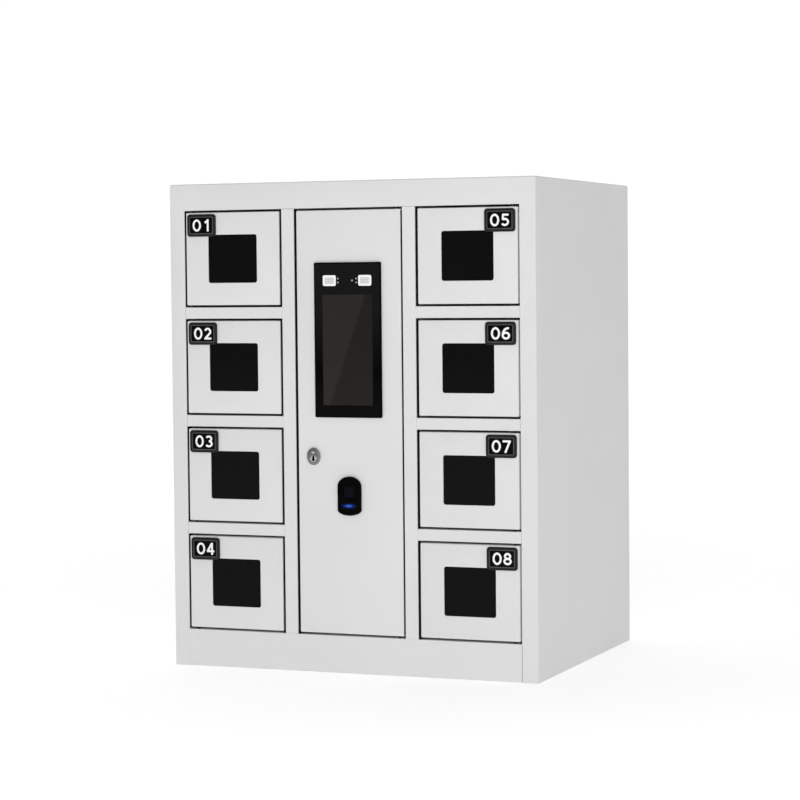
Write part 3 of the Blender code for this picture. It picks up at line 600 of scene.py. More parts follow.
def charging_panel(side):
    """Inner back of a column: a sheet with folded sides, open behind each socket."""
    x0, x1 = sorted(sided(side, CHARGER_LOW.x, CHARGER_HIGH.x))
    low, high = CHARGER_LOW.z, CHARGER_HIGH.z
    through, behind = (CHARGER_Y - OVER, CHARGER_Y + 2 * SHEET), (CHARGER_Y + SHEET, CHARGER_HIGH.y + OVER)
    cuts = [block((x0 + SHEET, x1 - SHEET), behind, (low - OVER, high + OVER))]
    cuts += [slab(((x0 + x1) / 2, ROW_Z[number]), SOCKET_HOLE, through) for number in NUMBERS[4:]]
    mesh = joined([block((x0, x1), (CHARGER_Y, CHARGER_HIGH.y), (low, high))], cuts)
    node = "left_charging_panel" if side < 0 else "right_charging_panel"
    piece(f"{node}_sheet", mesh, "cabinet", PAINT, node, edge=0.4 * MM)


def socket_mesh():
    """Twin charging socket's body about the middle of its back: a raised frame round two ports."""
    face = -SOCKET_RAISED
    adds = [
        slab((0, 0), SOCKET_SIZE, (face, 0), corner=3 * MM, rim=0.9 * MM),
        slab((0, 0), SOCKET_BOX, (-LAP, PORT_DEPTH), corner=1 * MM),
    ]
    cuts = [slab((0, 0), SOCKET_FIELD, (face - OVER, face + FIELD_SUNK), corner=2 * MM)]
    cuts += [slab((x, 0), PORT_SIZE, (face - OVER, face + PORT_DEPTH)) for x in PORTS]
    return joined(adds, cuts)


def lining_mesh():
    """The two ports' metal linings, about the same middle."""
    face = -SOCKET_RAISED + LINING_SUNK
    inside, end = inset(PORT_SIZE, LINING_WALL), face + LINING_LENGTH
    adds = [slab((x, 0), PORT_SIZE, (face, end), corner=0.5 * MM) for x in PORTS]
    cuts = [slab((x, 0), inside, (face - OVER, end - LINING_END), corner=0.4 * MM) for x in PORTS]
    return joined(adds, cuts)


def tongue_mesh():
    """The two ports' tongues, each with its contacts' seats."""
    adds, cuts = [], []
    for x in PORTS:
        adds.append(slab((x, TONGUE_LIFT), TONGUE_SIZE, TONGUE_Y))
        for i in range(CONTACTS):
            seat = (x + (i - (CONTACTS - 1) / 2) * CONTACT_PITCH, TONGUE_LIFT - TONGUE_SIZE[1] / 2)
            cuts.append(slab(seat, CONTACT_SIZE, CONTACT_Y))
    return joined(adds, cuts)


def sockets():
    body, linings, tongues = socket_mesh(), lining_mesh(), tongue_mesh()
    places = [(x, -SOCKET_RAISED, 0) for x in both(SOCKET_SCREW_X)]
    fixings = copies(screw(*SOCKET_SCREW), places)
    middle = (CHARGER_LOW.x + CHARGER_HIGH.x) / 2
    for number in NUMBERS:
        at = (SIDE[number] * middle, CHARGER_Y, ROW_Z[number])
        piece(f"charging_socket_{number}", body, "cabinet", BLACK, at=at, edge=0.15 * MM)
        piece(f"port_linings_{number}", linings, "cabinet", BRIGHT, at=at)
        piece(f"port_tongues_{number}", tongues, "cabinet", TONGUE, at=at, edge=0.1 * MM)
        piece(f"socket_screws_{number}", fixings, "cabinet", ZINC, at=at)


# Compartment doors -------------------

STRIKE_SHEET, STRIKE_OUT, STRIKE_HALF, STRIKE_FOOT, BOLT_PLAY = mm(1.5, 4.5, 11, 18, 1.5)
WINDOW_SIZE, WINDOW_THICK = (WINDOW_HIGH - WINDOW_LOW).xz, WINDOW_HIGH.y - WINDOW_LOW.y
WINDOW_LAP, WINDOW_CORNER = mm(8, 3.2)
STUD_RADIUS, STUD_REACH = mm(1.5, 8.5)
STUD_X, STUD_Z = inset(WINDOW_SIZE, WINDOW_LAP / 2) / 2
STUDS = [(x, 0, z) for x in both(STUD_X) for z in both(STUD_Z)]
WASHER_RADIUS, WASHER_THICK, NUT_RADIUS, NUT_FROM, NUT_TO = mm(3.6, 0.5, 3, 0.4, 2.4)
PLATE_SIZE, PLATE_THICK = (PLATE_HIGH - PLATE_LOW).xz, PLATE_HIGH.y - PLATE_LOW.y
PLATE_CORNER, PLATE_RIM, SUNK_CORNER, BEAD, BEAD_CORNER = mm(4.2, 3.3, 1.8, 1.2, 1.3)
PLATE_RECESS, BEAD_RAISED, FIELD_RAISED, DIGIT_RAISED = mm(0.7, 0.1, 0.2, 0.2)
DIGIT_HEIGHT, DIGIT_STROKE, DIGIT_PITCH, DIGIT_SHIFT = mm(16.2, 2.75, 14.2, 0.6)


def pan(x, z, cuts):
    """A folded door with a hollow back and a narrow return lip. x and z are its two values each."""
    (x0, x1), (z0, z1) = sorted(x), sorted(z)
    back = FRONT + DOOR_DEPTH
    outer = block(x, (FRONT, back + 2 * DOOR_BEND), z, corner=DOOR_BEND, axis=None)
    lip = SHEET + DOOR_LIP
    trims = [
        block((x0 - OVER, x1 + OVER), (back, back + 3 * DOOR_BEND), (z0 - OVER, z1 + OVER)),
        block((x0 + SHEET, x1 - SHEET), (FRONT + SHEET, back - SHEET), (z0 + SHEET, z1 - SHEET)),
        block((x0 + lip, x1 - lip), (back - 2 * SHEET, back + OVER), (z0 + lip, z1 - lip)),
    ]
    return helper_of(joined([outer], [*trims, *cuts]))


def hinge_pins(hinge, z):
    """The two pins pressed into a door's top and bottom edges."""
    ends = [(z[0] - PIN_OUT, z[0] - CLEAR), (z[1] + CLEAR, z[1] + PIN_OUT)]
    return joined([rod(JOINTS[hinge], PIN_RADIUS, end, axis=2, sides=24) for end in ends])


def door_mesh(side):
    """A compartment door at height 0, with the strike that the lock's bolt goes through."""
    middle = (side * (WINDOW_LOW.x + WINDOW_HIGH.x) / 2, 0)
    hole = slab(middle, inset(WINDOW_SIZE, WINDOW_LAP), DOOR_FACE, corner=WINDOW_CORNER, segments=6)
    strike = DOOR_LOW.x + STRIKE_OUT
    rear, seat = strike - STRIKE_SHEET, FRONT + SHEET / 2
    foot = sided(side, rear, rear + STRIKE_FOOT)
    adds = [
        pan(sided(side, DOOR_LOW.x, DOOR_HIGH.x), both(DOOR_HALF), [hole]),
        block(sided(side, rear, strike), (seat, DOOR_HIGH.y), both(STRIKE_HALF), corner=3 * MM, axis=0),
        block(foot, (seat, FRONT + SHEET + STRIKE_SHEET), both(STRIKE_HALF)),
    ]
    bolt_half = (BOLT_HIGH.z - BOLT_LOW.z) / 2 + BOLT_PLAY
    bolt_y = (BOLT_LOW.y - BOLT_PLAY, BOLT_HIGH.y + BOLT_PLAY)
    slot = block(sided(side, rear - OVER, strike + OVER), bolt_y, both(bolt_half), corner=1 * MM, axis=0)
    return joined(adds, [slot])


def window_mesh():
    """Smoked acrylic sheet about its own middle, with a hole for a stud in each corner."""
    holes = [rod(stud, STUD_RADIUS + CLEAR, both(WINDOW_THICK), sides=16) for stud in STUDS]
    return joined([slab((0, 0), WINDOW_SIZE, both(WINDOW_THICK / 2), corner=3 * MM)], holes)


def fixing_mesh():
    """A window's studs, washers and nuts, about its middle and the back of the door's sheet."""
    seat = CLEAR + WINDOW_THICK
    one = [
        rod((0, 0, 0), STUD_RADIUS, (0, STUD_REACH), sides=16),
        rod((0, 0, 0), WASHER_RADIUS, (seat, seat + WASHER_THICK), sides=24),
        rod((0, 0, 0), NUT_RADIUS, (seat + NUT_FROM, seat + NUT_TO), sides=6),
    ]
    return copies(joined(one), STUDS)


def number_plate_meshes():
    """Number plate about its own middle: a rounded rim, a bead inside it, and a sunk field."""
    front, back = both(PLATE_THICK / 2)
    floor = front + PLATE_RECESS
    sunk, field = inset(PLATE_SIZE, PLATE_RIM), inset(PLATE_SIZE, PLATE_RIM + BEAD)
    return (
        joined(
            [slab((0, 0), PLATE_SIZE, (front, back), corner=PLATE_CORNER, segments=6, rim=1.0 * MM)],
            [slab((0, 0), sunk, (front - OVER, floor), corner=SUNK_CORNER)],
        ),
        joined(
            [slab((0, 0), sunk, (front - BEAD_RAISED, floor), corner=SUNK_CORNER, rim=0.35 * MM)],
            [slab((0, 0), field, (front - OVER, back), corner=BEAD_CORNER)],
        ),
        joined([slab((0, 0), field, (floor - FIELD_RAISED, 0), corner=1 * MM)]),
    )


def ring(centre, radii):
    """An oval stroke of 24 points, which closes on itself."""
    return arc(centre, radii, 0, 345, 23), True


def line(*points):
    return points, False


def bow(*bend):
    return arc(*bend), False


# Each figure's strokes about its own middle, in parts of its height: (points, closed).
FIGURES = {
    "0": [ring((0, 0), (0.3, 0.415))],
    "1": [line((0.13, -0.5), (0.13, 0.5)), line((0.13, 0.39), (-0.14, 0.21))],
    "2": [
        line(*arc((0, 0.155), (0.24, 0.25), 160, -28), (-0.17, -0.34)),
        line((-0.31, -0.405), (0.33, -0.405)),
    ],
    "3": [bow((-0.03, 0.21), (0.24, 0.195), 150, -88), bow((-0.03, -0.195), (0.27, 0.21), 88, -150)],
    "4": [
        line((0.12, 0.45), (-0.26, -0.19)),
        line((-0.33, -0.2), (0.35, -0.2)),
        line((0.14, -0.5), (0.14, 0.5)),
    ],
    "5": [
        line((0.29, 0.405), (-0.24, 0.405)),
        line((-0.17, 0.42), (-0.2, 0.0)),
        bow((-0.03, -0.165), (0.27, 0.24), 128, -148),
    ],
    "6": [ring((0, -0.175), (0.265, 0.23)), bow((0.16, -0.14), (0.425, 0.545), 78, 178)],
    "7": [line((-0.34, 0.405), (0.34, 0.405)), line((0.28, 0.46), (-0.13, -0.5))],
    "8": [ring((0, 0.21), (0.22, 0.195)), ring((0, -0.19), (0.265, 0.215))],
}


def number_mesh(number, y):
    """A compartment's number in raised figures, about the plate's middle."""
    solids = []
    for i, figure in enumerate(number):
        x = (i - 0.5) * DIGIT_PITCH + DIGIT_SHIFT
        for points, closed in FIGURES[figure]:
            placed = [(x + px * DIGIT_HEIGHT, pz * DIGIT_HEIGHT) for px, pz in points]
            solids.append(plate(band(placed, DIGIT_STROKE, closed), y))
    return joined(solids)


def middle_of(node):
    return sum(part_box(node), Vector()) / 2


def doors():
    panels = {side: door_mesh(side) for side in (-1, 1)}
    pins = {SIDE[number]: hinge_pins(f"door_{number}_hinge", both(DOOR_HALF)) for number in ("01", "05")}
    window, fixings = window_mesh(), fixing_mesh()
    rim, bead, field = number_plate_meshes()
    floor = PLATE_RECESS - PLATE_THICK / 2
    raised = (floor - FIELD_RAISED - DIGIT_RAISED, floor)
    for number in NUMBERS:
        body, side, row = f"compartment_door_{number}", SIDE[number], (0, 0, ROW_Z[number])
        piece(f"door_panel_{number}", panels[side], body, PAINT, f"door_{number}", at=row, edge=0.25 * MM)
        piece(f"hinge_pins_{number}", pins[side], body, PIN_SHADE_STEEL, at=row, edge=0.3 * MM)
        node = f"window_{number}"
        at = middle_of(node)
        piece(f"window_sheet_{number}", window, body, ACRYLIC, node, at=at, edge=0.3 * MM)
        piece(f"window_fixings_{number}", fixings, body, ZINC, at=(at.x, FRONT + SHEET, at.z), edge=0.2 * MM)
        node = f"number_plate_{number}"
        at = middle_of(node)
        piece(f"plate_rim_{number}", rim, body, RIM, node, at=at)
        piece(f"plate_bead_{number}", bead, body, BEAD_HIGHLIGHT_GREY, at=at)
        piece(f"plate_field_{number}", field, body, FIELD, at=at)
        piece(f"plate_number_{number}", number_mesh(number, raised), body, DIGIT_WHITE, at=at)


# Seals and seams ---------------------

# Near-black strips in the door gaps: painted shade of the gaps.
SHADE_STRIP_Y = (FRONT + 1.3 * MM, FRONT + 4.8 * MM)
SHADE_FILM_Y, SHADE_FILM_THICK, SHADE_FILM_END = (SHADE_STRIP_Y[0], FRONT + DOOR_DEPTH), 0.25 * MM, 2 * MM
SHADE_AT_FRAME, SHADE_AT_DOOR, SHADE_END = mm(0.1, 0.7, 1)  # the gaps left beside a strip and at its ends
SEAM_SUNK, SEAM_END = mm(0.04, 0.5)
SEAM_SHADE_Y, SEAM_SHADE_Z = (FRONT + 0.1 * MM, FRONT + 0.8 * MM), (1 * MM, BASE_TOP - 1.5 * MM)


def gap_shade_strips():
    """Near-black strips in the gaps beside the doors, painted shade of those gaps: one at each lock edge, and
    a thin one at the left column's hinge edges and the control door's."""
    half = ROW_OPENING / 2 - SHADE_END
    strip = (DIVIDER_OUT + SHADE_AT_FRAME, DOOR_LOW.x - SHADE_AT_DOOR)
    hinge_shade = (STILE_IN - SHADE_FILM_THICK, STILE_IN)
    for number in NUMBERS:
        side, z = SIDE[number], (ROW_Z[number] - half, ROW_Z[number] + half)
        adds = [block(sided(side, *strip), SHADE_STRIP_Y, z)]
        if side < 0:
            adds.append(block(sided(side, *hinge_shade), SHADE_FILM_Y, z))
        piece(f"door_gap_shade_{number}", joined(adds), "cabinet", GAP_SHADE_BLACK)
    strip = (SHADE_AT_FRAME - DIVIDER_IN, CONTROL_LOW.x - SHADE_AT_DOOR)
    control_strip = joined([block(strip, SHADE_STRIP_Y, (BASE_TOP + SHADE_END, HEADER_Z - SHADE_END))])
    piece("control_door_gap_shade", control_strip, "cabinet", GAP_SHADE_BLACK)
    z = (CONTROL_LOW.z + PIN_OUT + SHADE_FILM_END, CONTROL_HIGH.z - PIN_OUT - SHADE_FILM_END)
    hinge_shade = joined([block((CONTROL_HIGH.x, CONTROL_HIGH.x + SHADE_FILM_THICK), SHADE_FILM_Y, z)])
    piece("control_hinge_gap_shade", hinge_shade, CONTROL_BODY, GAP_SHADE_BLACK)


def seams():
    """The painted welds where the frame's sheets meet at the front, and a near-black strip in one seam, which
    is painted shade.
    """
    runs = []
    for side in ("left", "right"):
        for i in range(1, 4):
            low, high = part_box(f"{side}_shelf_{i}")
            z = (low.z + SEAM_END, high.z - SEAM_END)
            runs += [((low.x - CLEAR, low.x), z), ((high.x, high.x + CLEAR), z)]
        low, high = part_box(f"{side}_partition")
        x = (low.x + SEAM_END, high.x - SEAM_END)
        runs += [(x, (low.z - CLEAR, low.z)), (x, (high.z, high.z + CLEAR))]
    low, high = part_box("base_panel")
    runs.append(((-STILE_IN, -STILE_IN + CLEAR), (low.z + SEAM_END, high.z - SEAM_END)))
    mesh = joined([block(x, (FRONT + SEAM_SUNK, FRONT + SHEET), z) for x, z in runs])
    piece("frame_seams", mesh, "cabinet", PAINT)
    # A near-black strip in the notch beside the base rail: painted shade of that seam.
    x = (STILE_IN - CLEAR + TINY, STILE_IN + SEAM_CUT - TINY)
    piece("stile_seam_shade", joined([block(x, SEAM_SHADE_Y, SEAM_SHADE_Z)]), "cabinet", GAP_SHADE_BLACK)


# Solenoid locks ----------------------

LOCK_FACE, LOCK_END = LOCK_HIGH.x, LOCK_LOW.x
LOCK_HALF = (LOCK_HIGH.z - LOCK_LOW.z) / 2
CASE_HALF = LOCK_HALF - 4 * MM
CASE_X, CASE_Y = (LOCK_END + 4 * MM, LOCK_FACE - SHEET / 2), (LOCK_LOW.y + 1 * MM, LOCK_HIGH.y - 5 * MM)
OPENING_X, OPENING_Y = (LOCK_END + 8 * MM, LOCK_FACE - 6 * MM), (BOLT_HIGH.y + 4 * MM, CASE_Y[1] - 2 * MM)
CHANNEL_END = 1 * MM  # left at the end of the bolt's channel
COIL_GAP, COIL_RADIUS, CORE_RADIUS, CORE_END = mm(1, 7.4, 6.4, 4)
LOCK_SCREW_BACK, LOCK_SCREW_END = mm(2.5, 5)


def lock_meshes(side):
    """A lock at height 0: (steel frame, coil, screws)."""
    bracket, y = sided(side, LOCK_FACE - SHEET, LOCK_FACE), (LOCK_LOW.y, LOCK_HIGH.y)
    adds = [
        block(bracket, y, both(LOCK_HALF), corner=2 * MM, axis=0),
        block(sided(side, *CASE_X), CASE_Y, both(CASE_HALF), corner=1.2 * MM, axis=2),
    ]
    channel = sided(side, CASE_X[0] + CHANNEL_END, LOCK_FACE + OVER)
    bolt_half = (BOLT_HIGH.z - BOLT_LOW.z) / 2 + CLEAR
    cuts = [
        block(channel, (BOLT_LOW.y - CLEAR, BOLT_HIGH.y + CLEAR), both(bolt_half)),
        block(sided(side, *OPENING_X), OPENING_Y, both(CASE_HALF + OVER), corner=1 * MM, axis=2),
    ]
    coil_at = (0, sum(OPENING_Y) / 2, 0)
    coil = [
        rod(coil_at, COIL_RADIUS, sided(side, OPENING_X[0] + COIL_GAP, OPENING_X[1] - COIL_GAP), axis=0),
        rod(coil_at, CORE_RADIUS, sided(side, LOCK_END, LOCK_FACE - CORE_END), axis=0),
    ]
    about = Matrix.Rotation(-side * math.pi / 2, 4, "Z")
    seat = Vector((side * (LOCK_FACE - SHEET), LOCK_HIGH.y - LOCK_SCREW_BACK, 0))
    places = [Matrix.Translation((seat.x, seat.y, z)) @ about for z in both(LOCK_HALF - LOCK_SCREW_END)]
    screws = copies(screw(*LOCK_SCREW), places)
    return joined(adds, cuts), joined(coil), screws


def locks():
    meshes = {side: lock_meshes(side) for side in (-1, 1)}
    for number in NUMBERS:
        steel, coil, screws = meshes[SIDE[number]]
        at = (0, 0, ROW_Z[number])
        piece(f"lock_frame_{number}", steel, "cabinet", ZINC, f"lock_body_{number}", at=at, edge=0.25 * MM)
        piece(f"lock_coil_{number}", coil, "cabinet", BLACK, at=at, edge=0.3 * MM)
        piece(f"lock_screws_{number}", screws, "cabinet", ZINC, at=at)
        soften(f"lock_bolt_{number}", BRIGHT, 0.3 * MM)


# Control door ------------------------

TERMINAL_SIZE, GLASS_SIZE = (TERMINAL_HIGH - TERMINAL_LOW).xz, (GLASS_HIGH - GLASS_LOW).xz
TERMINAL_MIDDLE = Vector((0, (TERMINAL_LOW.z + TERMINAL_HIGH.z) / 2))
TERMINAL_CUT = TERMINAL_SIZE - Vector(mm(5, 6))
READER_MIDDLE = Vector((0, (READER_LOW.z + READER_HIGH.z) / 2))
READER_CUT = Vector(mm(25.6, 40.6))
LOCK_HOLE_RADIUS = 8.3 * MM


def control_door():
    """The middle door, cut for the terminal, the cam lock and the fingerprint reader."""
    z = (CONTROL_LOW.z + PIN_OUT, CONTROL_HIGH.z - PIN_OUT)
    cuts = [
        slab(TERMINAL_MIDDLE, TERMINAL_CUT, DOOR_FACE),
        slab(READER_MIDDLE, READER_CUT, DOOR_FACE),
        rod(LOCK_AXIS, LOCK_HOLE_RADIUS, DOOR_FACE),
    ]
    mesh = joined([pan((CONTROL_LOW.x, CONTROL_HIGH.x), z, cuts)])
    pins = hinge_pins("control_door_hinge", z)
    piece("control_hinge_pins", pins, CONTROL_BODY, PIN_SHADE_STEEL, edge=0.3 * MM)
    piece("control_door_panel", mesh, CONTROL_BODY, PAINT, "control_door", edge=0.25 * MM)


# Places on the terminal's glass, from its top edge and its middle line.
SCREEN_SIZE, SCREEN_DROP = mm(70.6, 145.4), 42.4 * MM
LAMP_SIZE, LAMP_X, LAMP_DROP, LAMP_RIM, LAMP_CORNER = mm(18.6, 14.1), *mm(25.2, 23.9, 2.9, 2.2)
DOT_X, DOT_LIFT, DOT_RADIUS, CAMERA_X, CAMERA_RADIUS, PUPIL_RADIUS = mm(12.9, 2.5, 1, 7.2, 1.2, 0.45)
EMITTER_SIZE, EMITTER_PITCH, EMITTERS = mm(1.3, 1.3), mm(2.6, 2.7), (5, 3)

# How far things lie behind the glass's face. INLAY is the back of all that is let into it.
FLUSH, EMITTER_FRONT, EMITTER_BACK, LAMP_BACK, INLAY = mm(0.02, 0.1, 0.2, 0.15, 0.3)
INLAY_PLAY = 0.05 * MM

# Grooves on the terminal's back.
GROOVES, GROOVE_SIZE, GROOVE_PITCH, GROOVE_DEPTH = 9, mm(60, 3), 9 * MM, 1.5 * MM


def terminal_case(face):
    """The terminal's frame round its glass, and its box behind the door, which is grooved at the back."""
    pocket, rear = GLASS_HIGH.y + CLEAR, TERMINAL_HIGH.y
    adds = [
        slab(TERMINAL_MIDDLE, TERMINAL_SIZE, (face, FRONT - CLEAR), corner=2 * MM, rim=0.8 * MM),
        slab(TERMINAL_MIDDLE, inset(TERMINAL_CUT, CLEAR), (pocket + LAP, rear)),
    ]
    cuts = [slab(TERMINAL_MIDDLE, inset(GLASS_SIZE, -CLEAR), (face - OVER, pocket), corner=1 * MM)]
    for i in range(GROOVES):
        groove = (0, TERMINAL_MIDDLE.y + (i - (GROOVES - 1) / 2) * GROOVE_PITCH)
        cuts.append(slab(groove, GROOVE_SIZE, (rear - GROOVE_DEPTH, rear + OVER), corner=1.4 * MM))
    return joined(adds, cuts)


def emitters(face, middle):
    """A lamp's grid of emitters about its middle."""
    y = (face + EMITTER_FRONT, face + EMITTER_BACK)
    one = joined([slab((0, 0), EMITTER_SIZE, y, rim=0.05 * MM)])
    columns, rows = (
        [centre + (i - (count - 1) / 2) * pitch for i in range(count)]
        for centre, count, pitch in zip(middle, EMITTERS, EMITTER_PITCH)
    )
    return copies(one, [(x, 0, z) for x in columns for z in rows])


def face_terminal():
    """Face recognition terminal: case, glass front, screen, two lamps, and the sensors between them."""
    face, top = GLASS_LOW.y, TERMINAL_HIGH.z
    piece("terminal_housing", terminal_case(face), CONTROL_BODY, JET, "terminal_case", edge=0.3 * MM)

    screen_z, lamp_z = top - SCREEN_DROP - SCREEN_SIZE[1] / 2, top - LAMP_DROP
    lamps = [(x, lamp_z) for x in both(LAMP_X)]
    dots = [(x, 0, lamp_z + lift) for x in both(DOT_X) for lift in both(DOT_LIFT)]
    camera_at = (CAMERA_X, 0, lamp_z)
    inlay, flush = (face - OVER, face + INLAY), (face + FLUSH, face + INLAY)
    holes = [slab((0, screen_z), inset(SCREEN_SIZE, -INLAY_PLAY), inlay)]
    holes += [slab(lamp, inset(LAMP_SIZE, -INLAY_PLAY), inlay, corner=LAMP_CORNER) for lamp in lamps]
    holes += [rod(dot, DOT_RADIUS, inlay, sides=20) for dot in dots]
    holes.append(rod(camera_at, CAMERA_RADIUS, inlay, sides=24))
    glass = joined([slab(TERMINAL_MIDDLE, GLASS_SIZE, (face, GLASS_HIGH.y), corner=1 * MM)], holes)
    piece("terminal_front_glass", glass, CONTROL_BODY, GLASS, "terminal_glass", edge=0.12 * MM)
    screen = joined([slab((0, 0), SCREEN_SIZE, flush)])
    piece("terminal_screen", screen, CONTROL_BODY, SCREEN, at=(0, 0, screen_z))

    inside = inset(LAMP_SIZE, LAMP_RIM)
    for word, lamp in zip(("left", "right"), lamps):
        outer = slab(lamp, LAMP_SIZE, flush, corner=LAMP_CORNER)
        border = joined([outer], [slab(lamp, inside, inlay, corner=0.8 * MM)])
        back = joined([slab(lamp, inside, (face + LAMP_BACK, face + INLAY), corner=0.8 * MM)])
        piece(f"{word}_lamp_frame", border, CONTROL_BODY, LAMP_FRAME)
        piece(f"{word}_lamp", back, CONTROL_BODY, LAMP)
        piece(f"{word}_lamp_emitters", emitters(face, lamp), CONTROL_BODY, EMITTER)
    eyes = joined([rod(dot, DOT_RADIUS - INLAY_PLAY, flush, sides=20) for dot in dots])
    piece("terminal_sensors", eyes, CONTROL_BODY, TONGUE)
    outer = rod(camera_at, CAMERA_RADIUS - INLAY_PLAY, flush, sides=24)
    border = joined([outer], [rod(camera_at, PUPIL_RADIUS, inlay, sides=20)])
    piece("terminal_camera", border, CONTROL_BODY, TONGUE)


DOME, SAG = mm(13, 7.5)  # how high the reader's outline bows at its top and bottom
HOLLOW_RADIUS, HOLLOW_SUNK, HOLLOW_FROM, HOLLOW_END = mm(19, 1.6, 20, 7)
READER_LAMP_Z, READER_LAMP_SIZE = READER_LOW.z + 12.9 * MM, mm(22, 8.4)
SENSOR_Z, SENSOR_SIZE = READER_LOW.z + 31.5 * MM, mm(15, 13)
SENSOR_RAISED, SENSOR_SEAT, LAMP_SUNK, READER_PLAY, READER_NECK = mm(0.2, 0.4, 0.2, 0.1, 3)


def fingerprint_reader():
    """Fingerprint reader: rounded body, a hollow for the finger, a sensor window and a blue lamp."""
    face, foot, top, half = READER_LOW.y, READER_LOW.z, READER_HIGH.z, READER_HIGH.x
    outline = arc((0, top - DOME), (half, DOME), 0, 180) + arc((0, foot + SAG), (half, SAG), 180, 360)
    hollow, seat = face + HOLLOW_SUNK, face + HOLLOW_SUNK + SENSOR_SEAT
    hollow_z, neck = (foot + HOLLOW_FROM, top - HOLLOW_END), (face + READER_NECK, READER_HIGH.y)
    adds = [
        plate([outline], (face, FRONT - CLEAR), rim=1.8 * MM),
        slab(READER_MIDDLE, inset(READER_CUT, CLEAR), neck, corner=1.5 * MM),
    ]
    cuts = [
        rod((0, hollow - HOLLOW_RADIUS, 0), HOLLOW_RADIUS, hollow_z, axis=2, sides=64),
        slab((0, SENSOR_Z), inset(SENSOR_SIZE, -READER_PLAY), (face - OVER, seat), corner=1.5 * MM),
        slab((0, READER_LAMP_Z), inset(READER_LAMP_SIZE, -READER_PLAY), (face - OVER, hollow), corner=3 * MM),
    ]
    mesh = joined(adds, cuts)
    piece("reader_body", mesh, CONTROL_BODY, JET, "fingerprint_reader", edge=0.3 * MM)
    glass = joined([slab((0, 0), SENSOR_SIZE, (hollow - SENSOR_RAISED, seat), corner=1.4 * MM)])
    lower_half = SENSOR_SIZE[1] / 2
    glass.transform(Matrix.Translation((0, 0, lower_half)))  # its painted glow of the reader lamp's light is about its lower edge
    at = (0, 0, SENSOR_Z - lower_half)
    piece("sensor_window", glass, CONTROL_BODY, SENSOR_PAINTED_GLOW, at=at, edge=0.15 * MM)
    bar = joined([slab((0, 0), READER_LAMP_SIZE, (face + LAMP_SUNK, hollow), corner=3 * MM)])
    piece("reader_lamp", bar, CONTROL_BODY, LED, at=(0, 0, READER_LAMP_Z), edge=0.2 * MM)


OVAL_HALF, OVAL_TALL, BARREL_RADIUS, PLUG_RADIUS = mm(9.5, 11.5, 7.6, 4.8)
THREADS, THREAD_RADIUS, THREAD_PITCH, THREAD_WIDTH, THREAD_FROM = 8, *mm(8, 1.4, 0.7, 7)
BIG_NUT_RADIUS, BIG_NUT_THICK, CAM_HALF, CAM_FROM, CAM_TO = mm(13, 4, 6, 1, 3)
KEYHOLES = ((0.3 * MM, mm(2.8, 7.8), 1.3 * MM), (-0.9 * MM, mm(3.7, 5.4), 1.7 * MM))  # height, size, corner
KEYHOLE_DEPTH, CORE_FROM, CORE_TO, KEY_CORE_RADIUS = mm(9, 0.9, 8, 3.9)
DISH_RADIUS, DISH_DEPTH = mm(3.7, 0.35)
MARK_RADIUS, MARK_LIFT, MARK_RAISED, MARK_SQUASH = *mm(2.6, 5.4, 0.25), 0.6


def cam_lock():
    """Cam lock: an oval-faced barrel with its nut, and the plug that turns in it and carries the cam."""
    face, end, seat, rear = BARREL_LOW.y, BARREL_HIGH.y, FRONT - CLEAR, FRONT + SHEET + CLEAR
    x, z = LOCK_AXIS.xz
    oval_z = BARREL_HIGH.z - OVAL_TALL
    oval = {"sides": 48, "squash": OVAL_TALL / OVAL_HALF, "rim": 1.1 * MM}
    thread_y = [seat + THREAD_FROM + i * THREAD_PITCH for i in range(THREADS)]
    adds = [
        rod((x, 0, oval_z), OVAL_HALF, (face, seat), **oval),
        rod(LOCK_AXIS, BARREL_RADIUS, (seat - LAP, end)),
        rod(LOCK_AXIS, BIG_NUT_RADIUS, (rear, rear + BIG_NUT_THICK), sides=6),
        *[rod(LOCK_AXIS, THREAD_RADIUS, (y, y + THREAD_WIDTH)) for y in thread_y],
    ]
    bore = rod(LOCK_AXIS, PLUG_RADIUS + CLEAR, (face - OVER, end + OVER), sides=48)
    barrel = joined(adds, [bore])
    piece("lock_barrel", barrel, CONTROL_BODY, NICKEL, "cam_lock_barrel", edge=0.2 * MM)

    cam_y, cam_z = (end + CAM_FROM, end + CAM_TO), (z - CAM_HALF, PLUG_HIGH.z)
    adds = [
        rod(LOCK_AXIS, PLUG_RADIUS, (face, PLUG_HIGH.y), sides=48, rim=0.4 * MM),
        block((x - CAM_HALF, x + CAM_HALF), cam_y, cam_z, corner=3 * MM, segments=6),
    ]
    depth = (face - OVER, face + KEYHOLE_DEPTH)
    cuts = [slab((x, z + lift), size, depth, corner=corner) for lift, size, corner in KEYHOLES]
    cuts.append(rod(LOCK_AXIS, DISH_RADIUS, (face - OVER, face + DISH_DEPTH), sides=40))
    piece("lock_plug", joined(adds, cuts), "cam_plug", PLUG_METAL, "cam_lock_plug", edge=0.12 * MM)
    core = joined([rod(LOCK_AXIS, KEY_CORE_RADIUS, (face + CORE_FROM, face + CORE_TO))])
    piece("keyway_core", core, "cam_plug", JET)
    # A small raised oval of bright plug metal near the top of the lock's face, which paints a highlight
    # there.
    mark_y = (face - MARK_RAISED, face + LAP)
    mark = rod((x, 0, oval_z + MARK_LIFT), MARK_RADIUS, mark_y, squash=MARK_SQUASH, rim=0.2 * MM)
    piece("lock_face_highlight", joined([mark]), CONTROL_BODY, PLUG_METAL)


# Control unit ------------------------

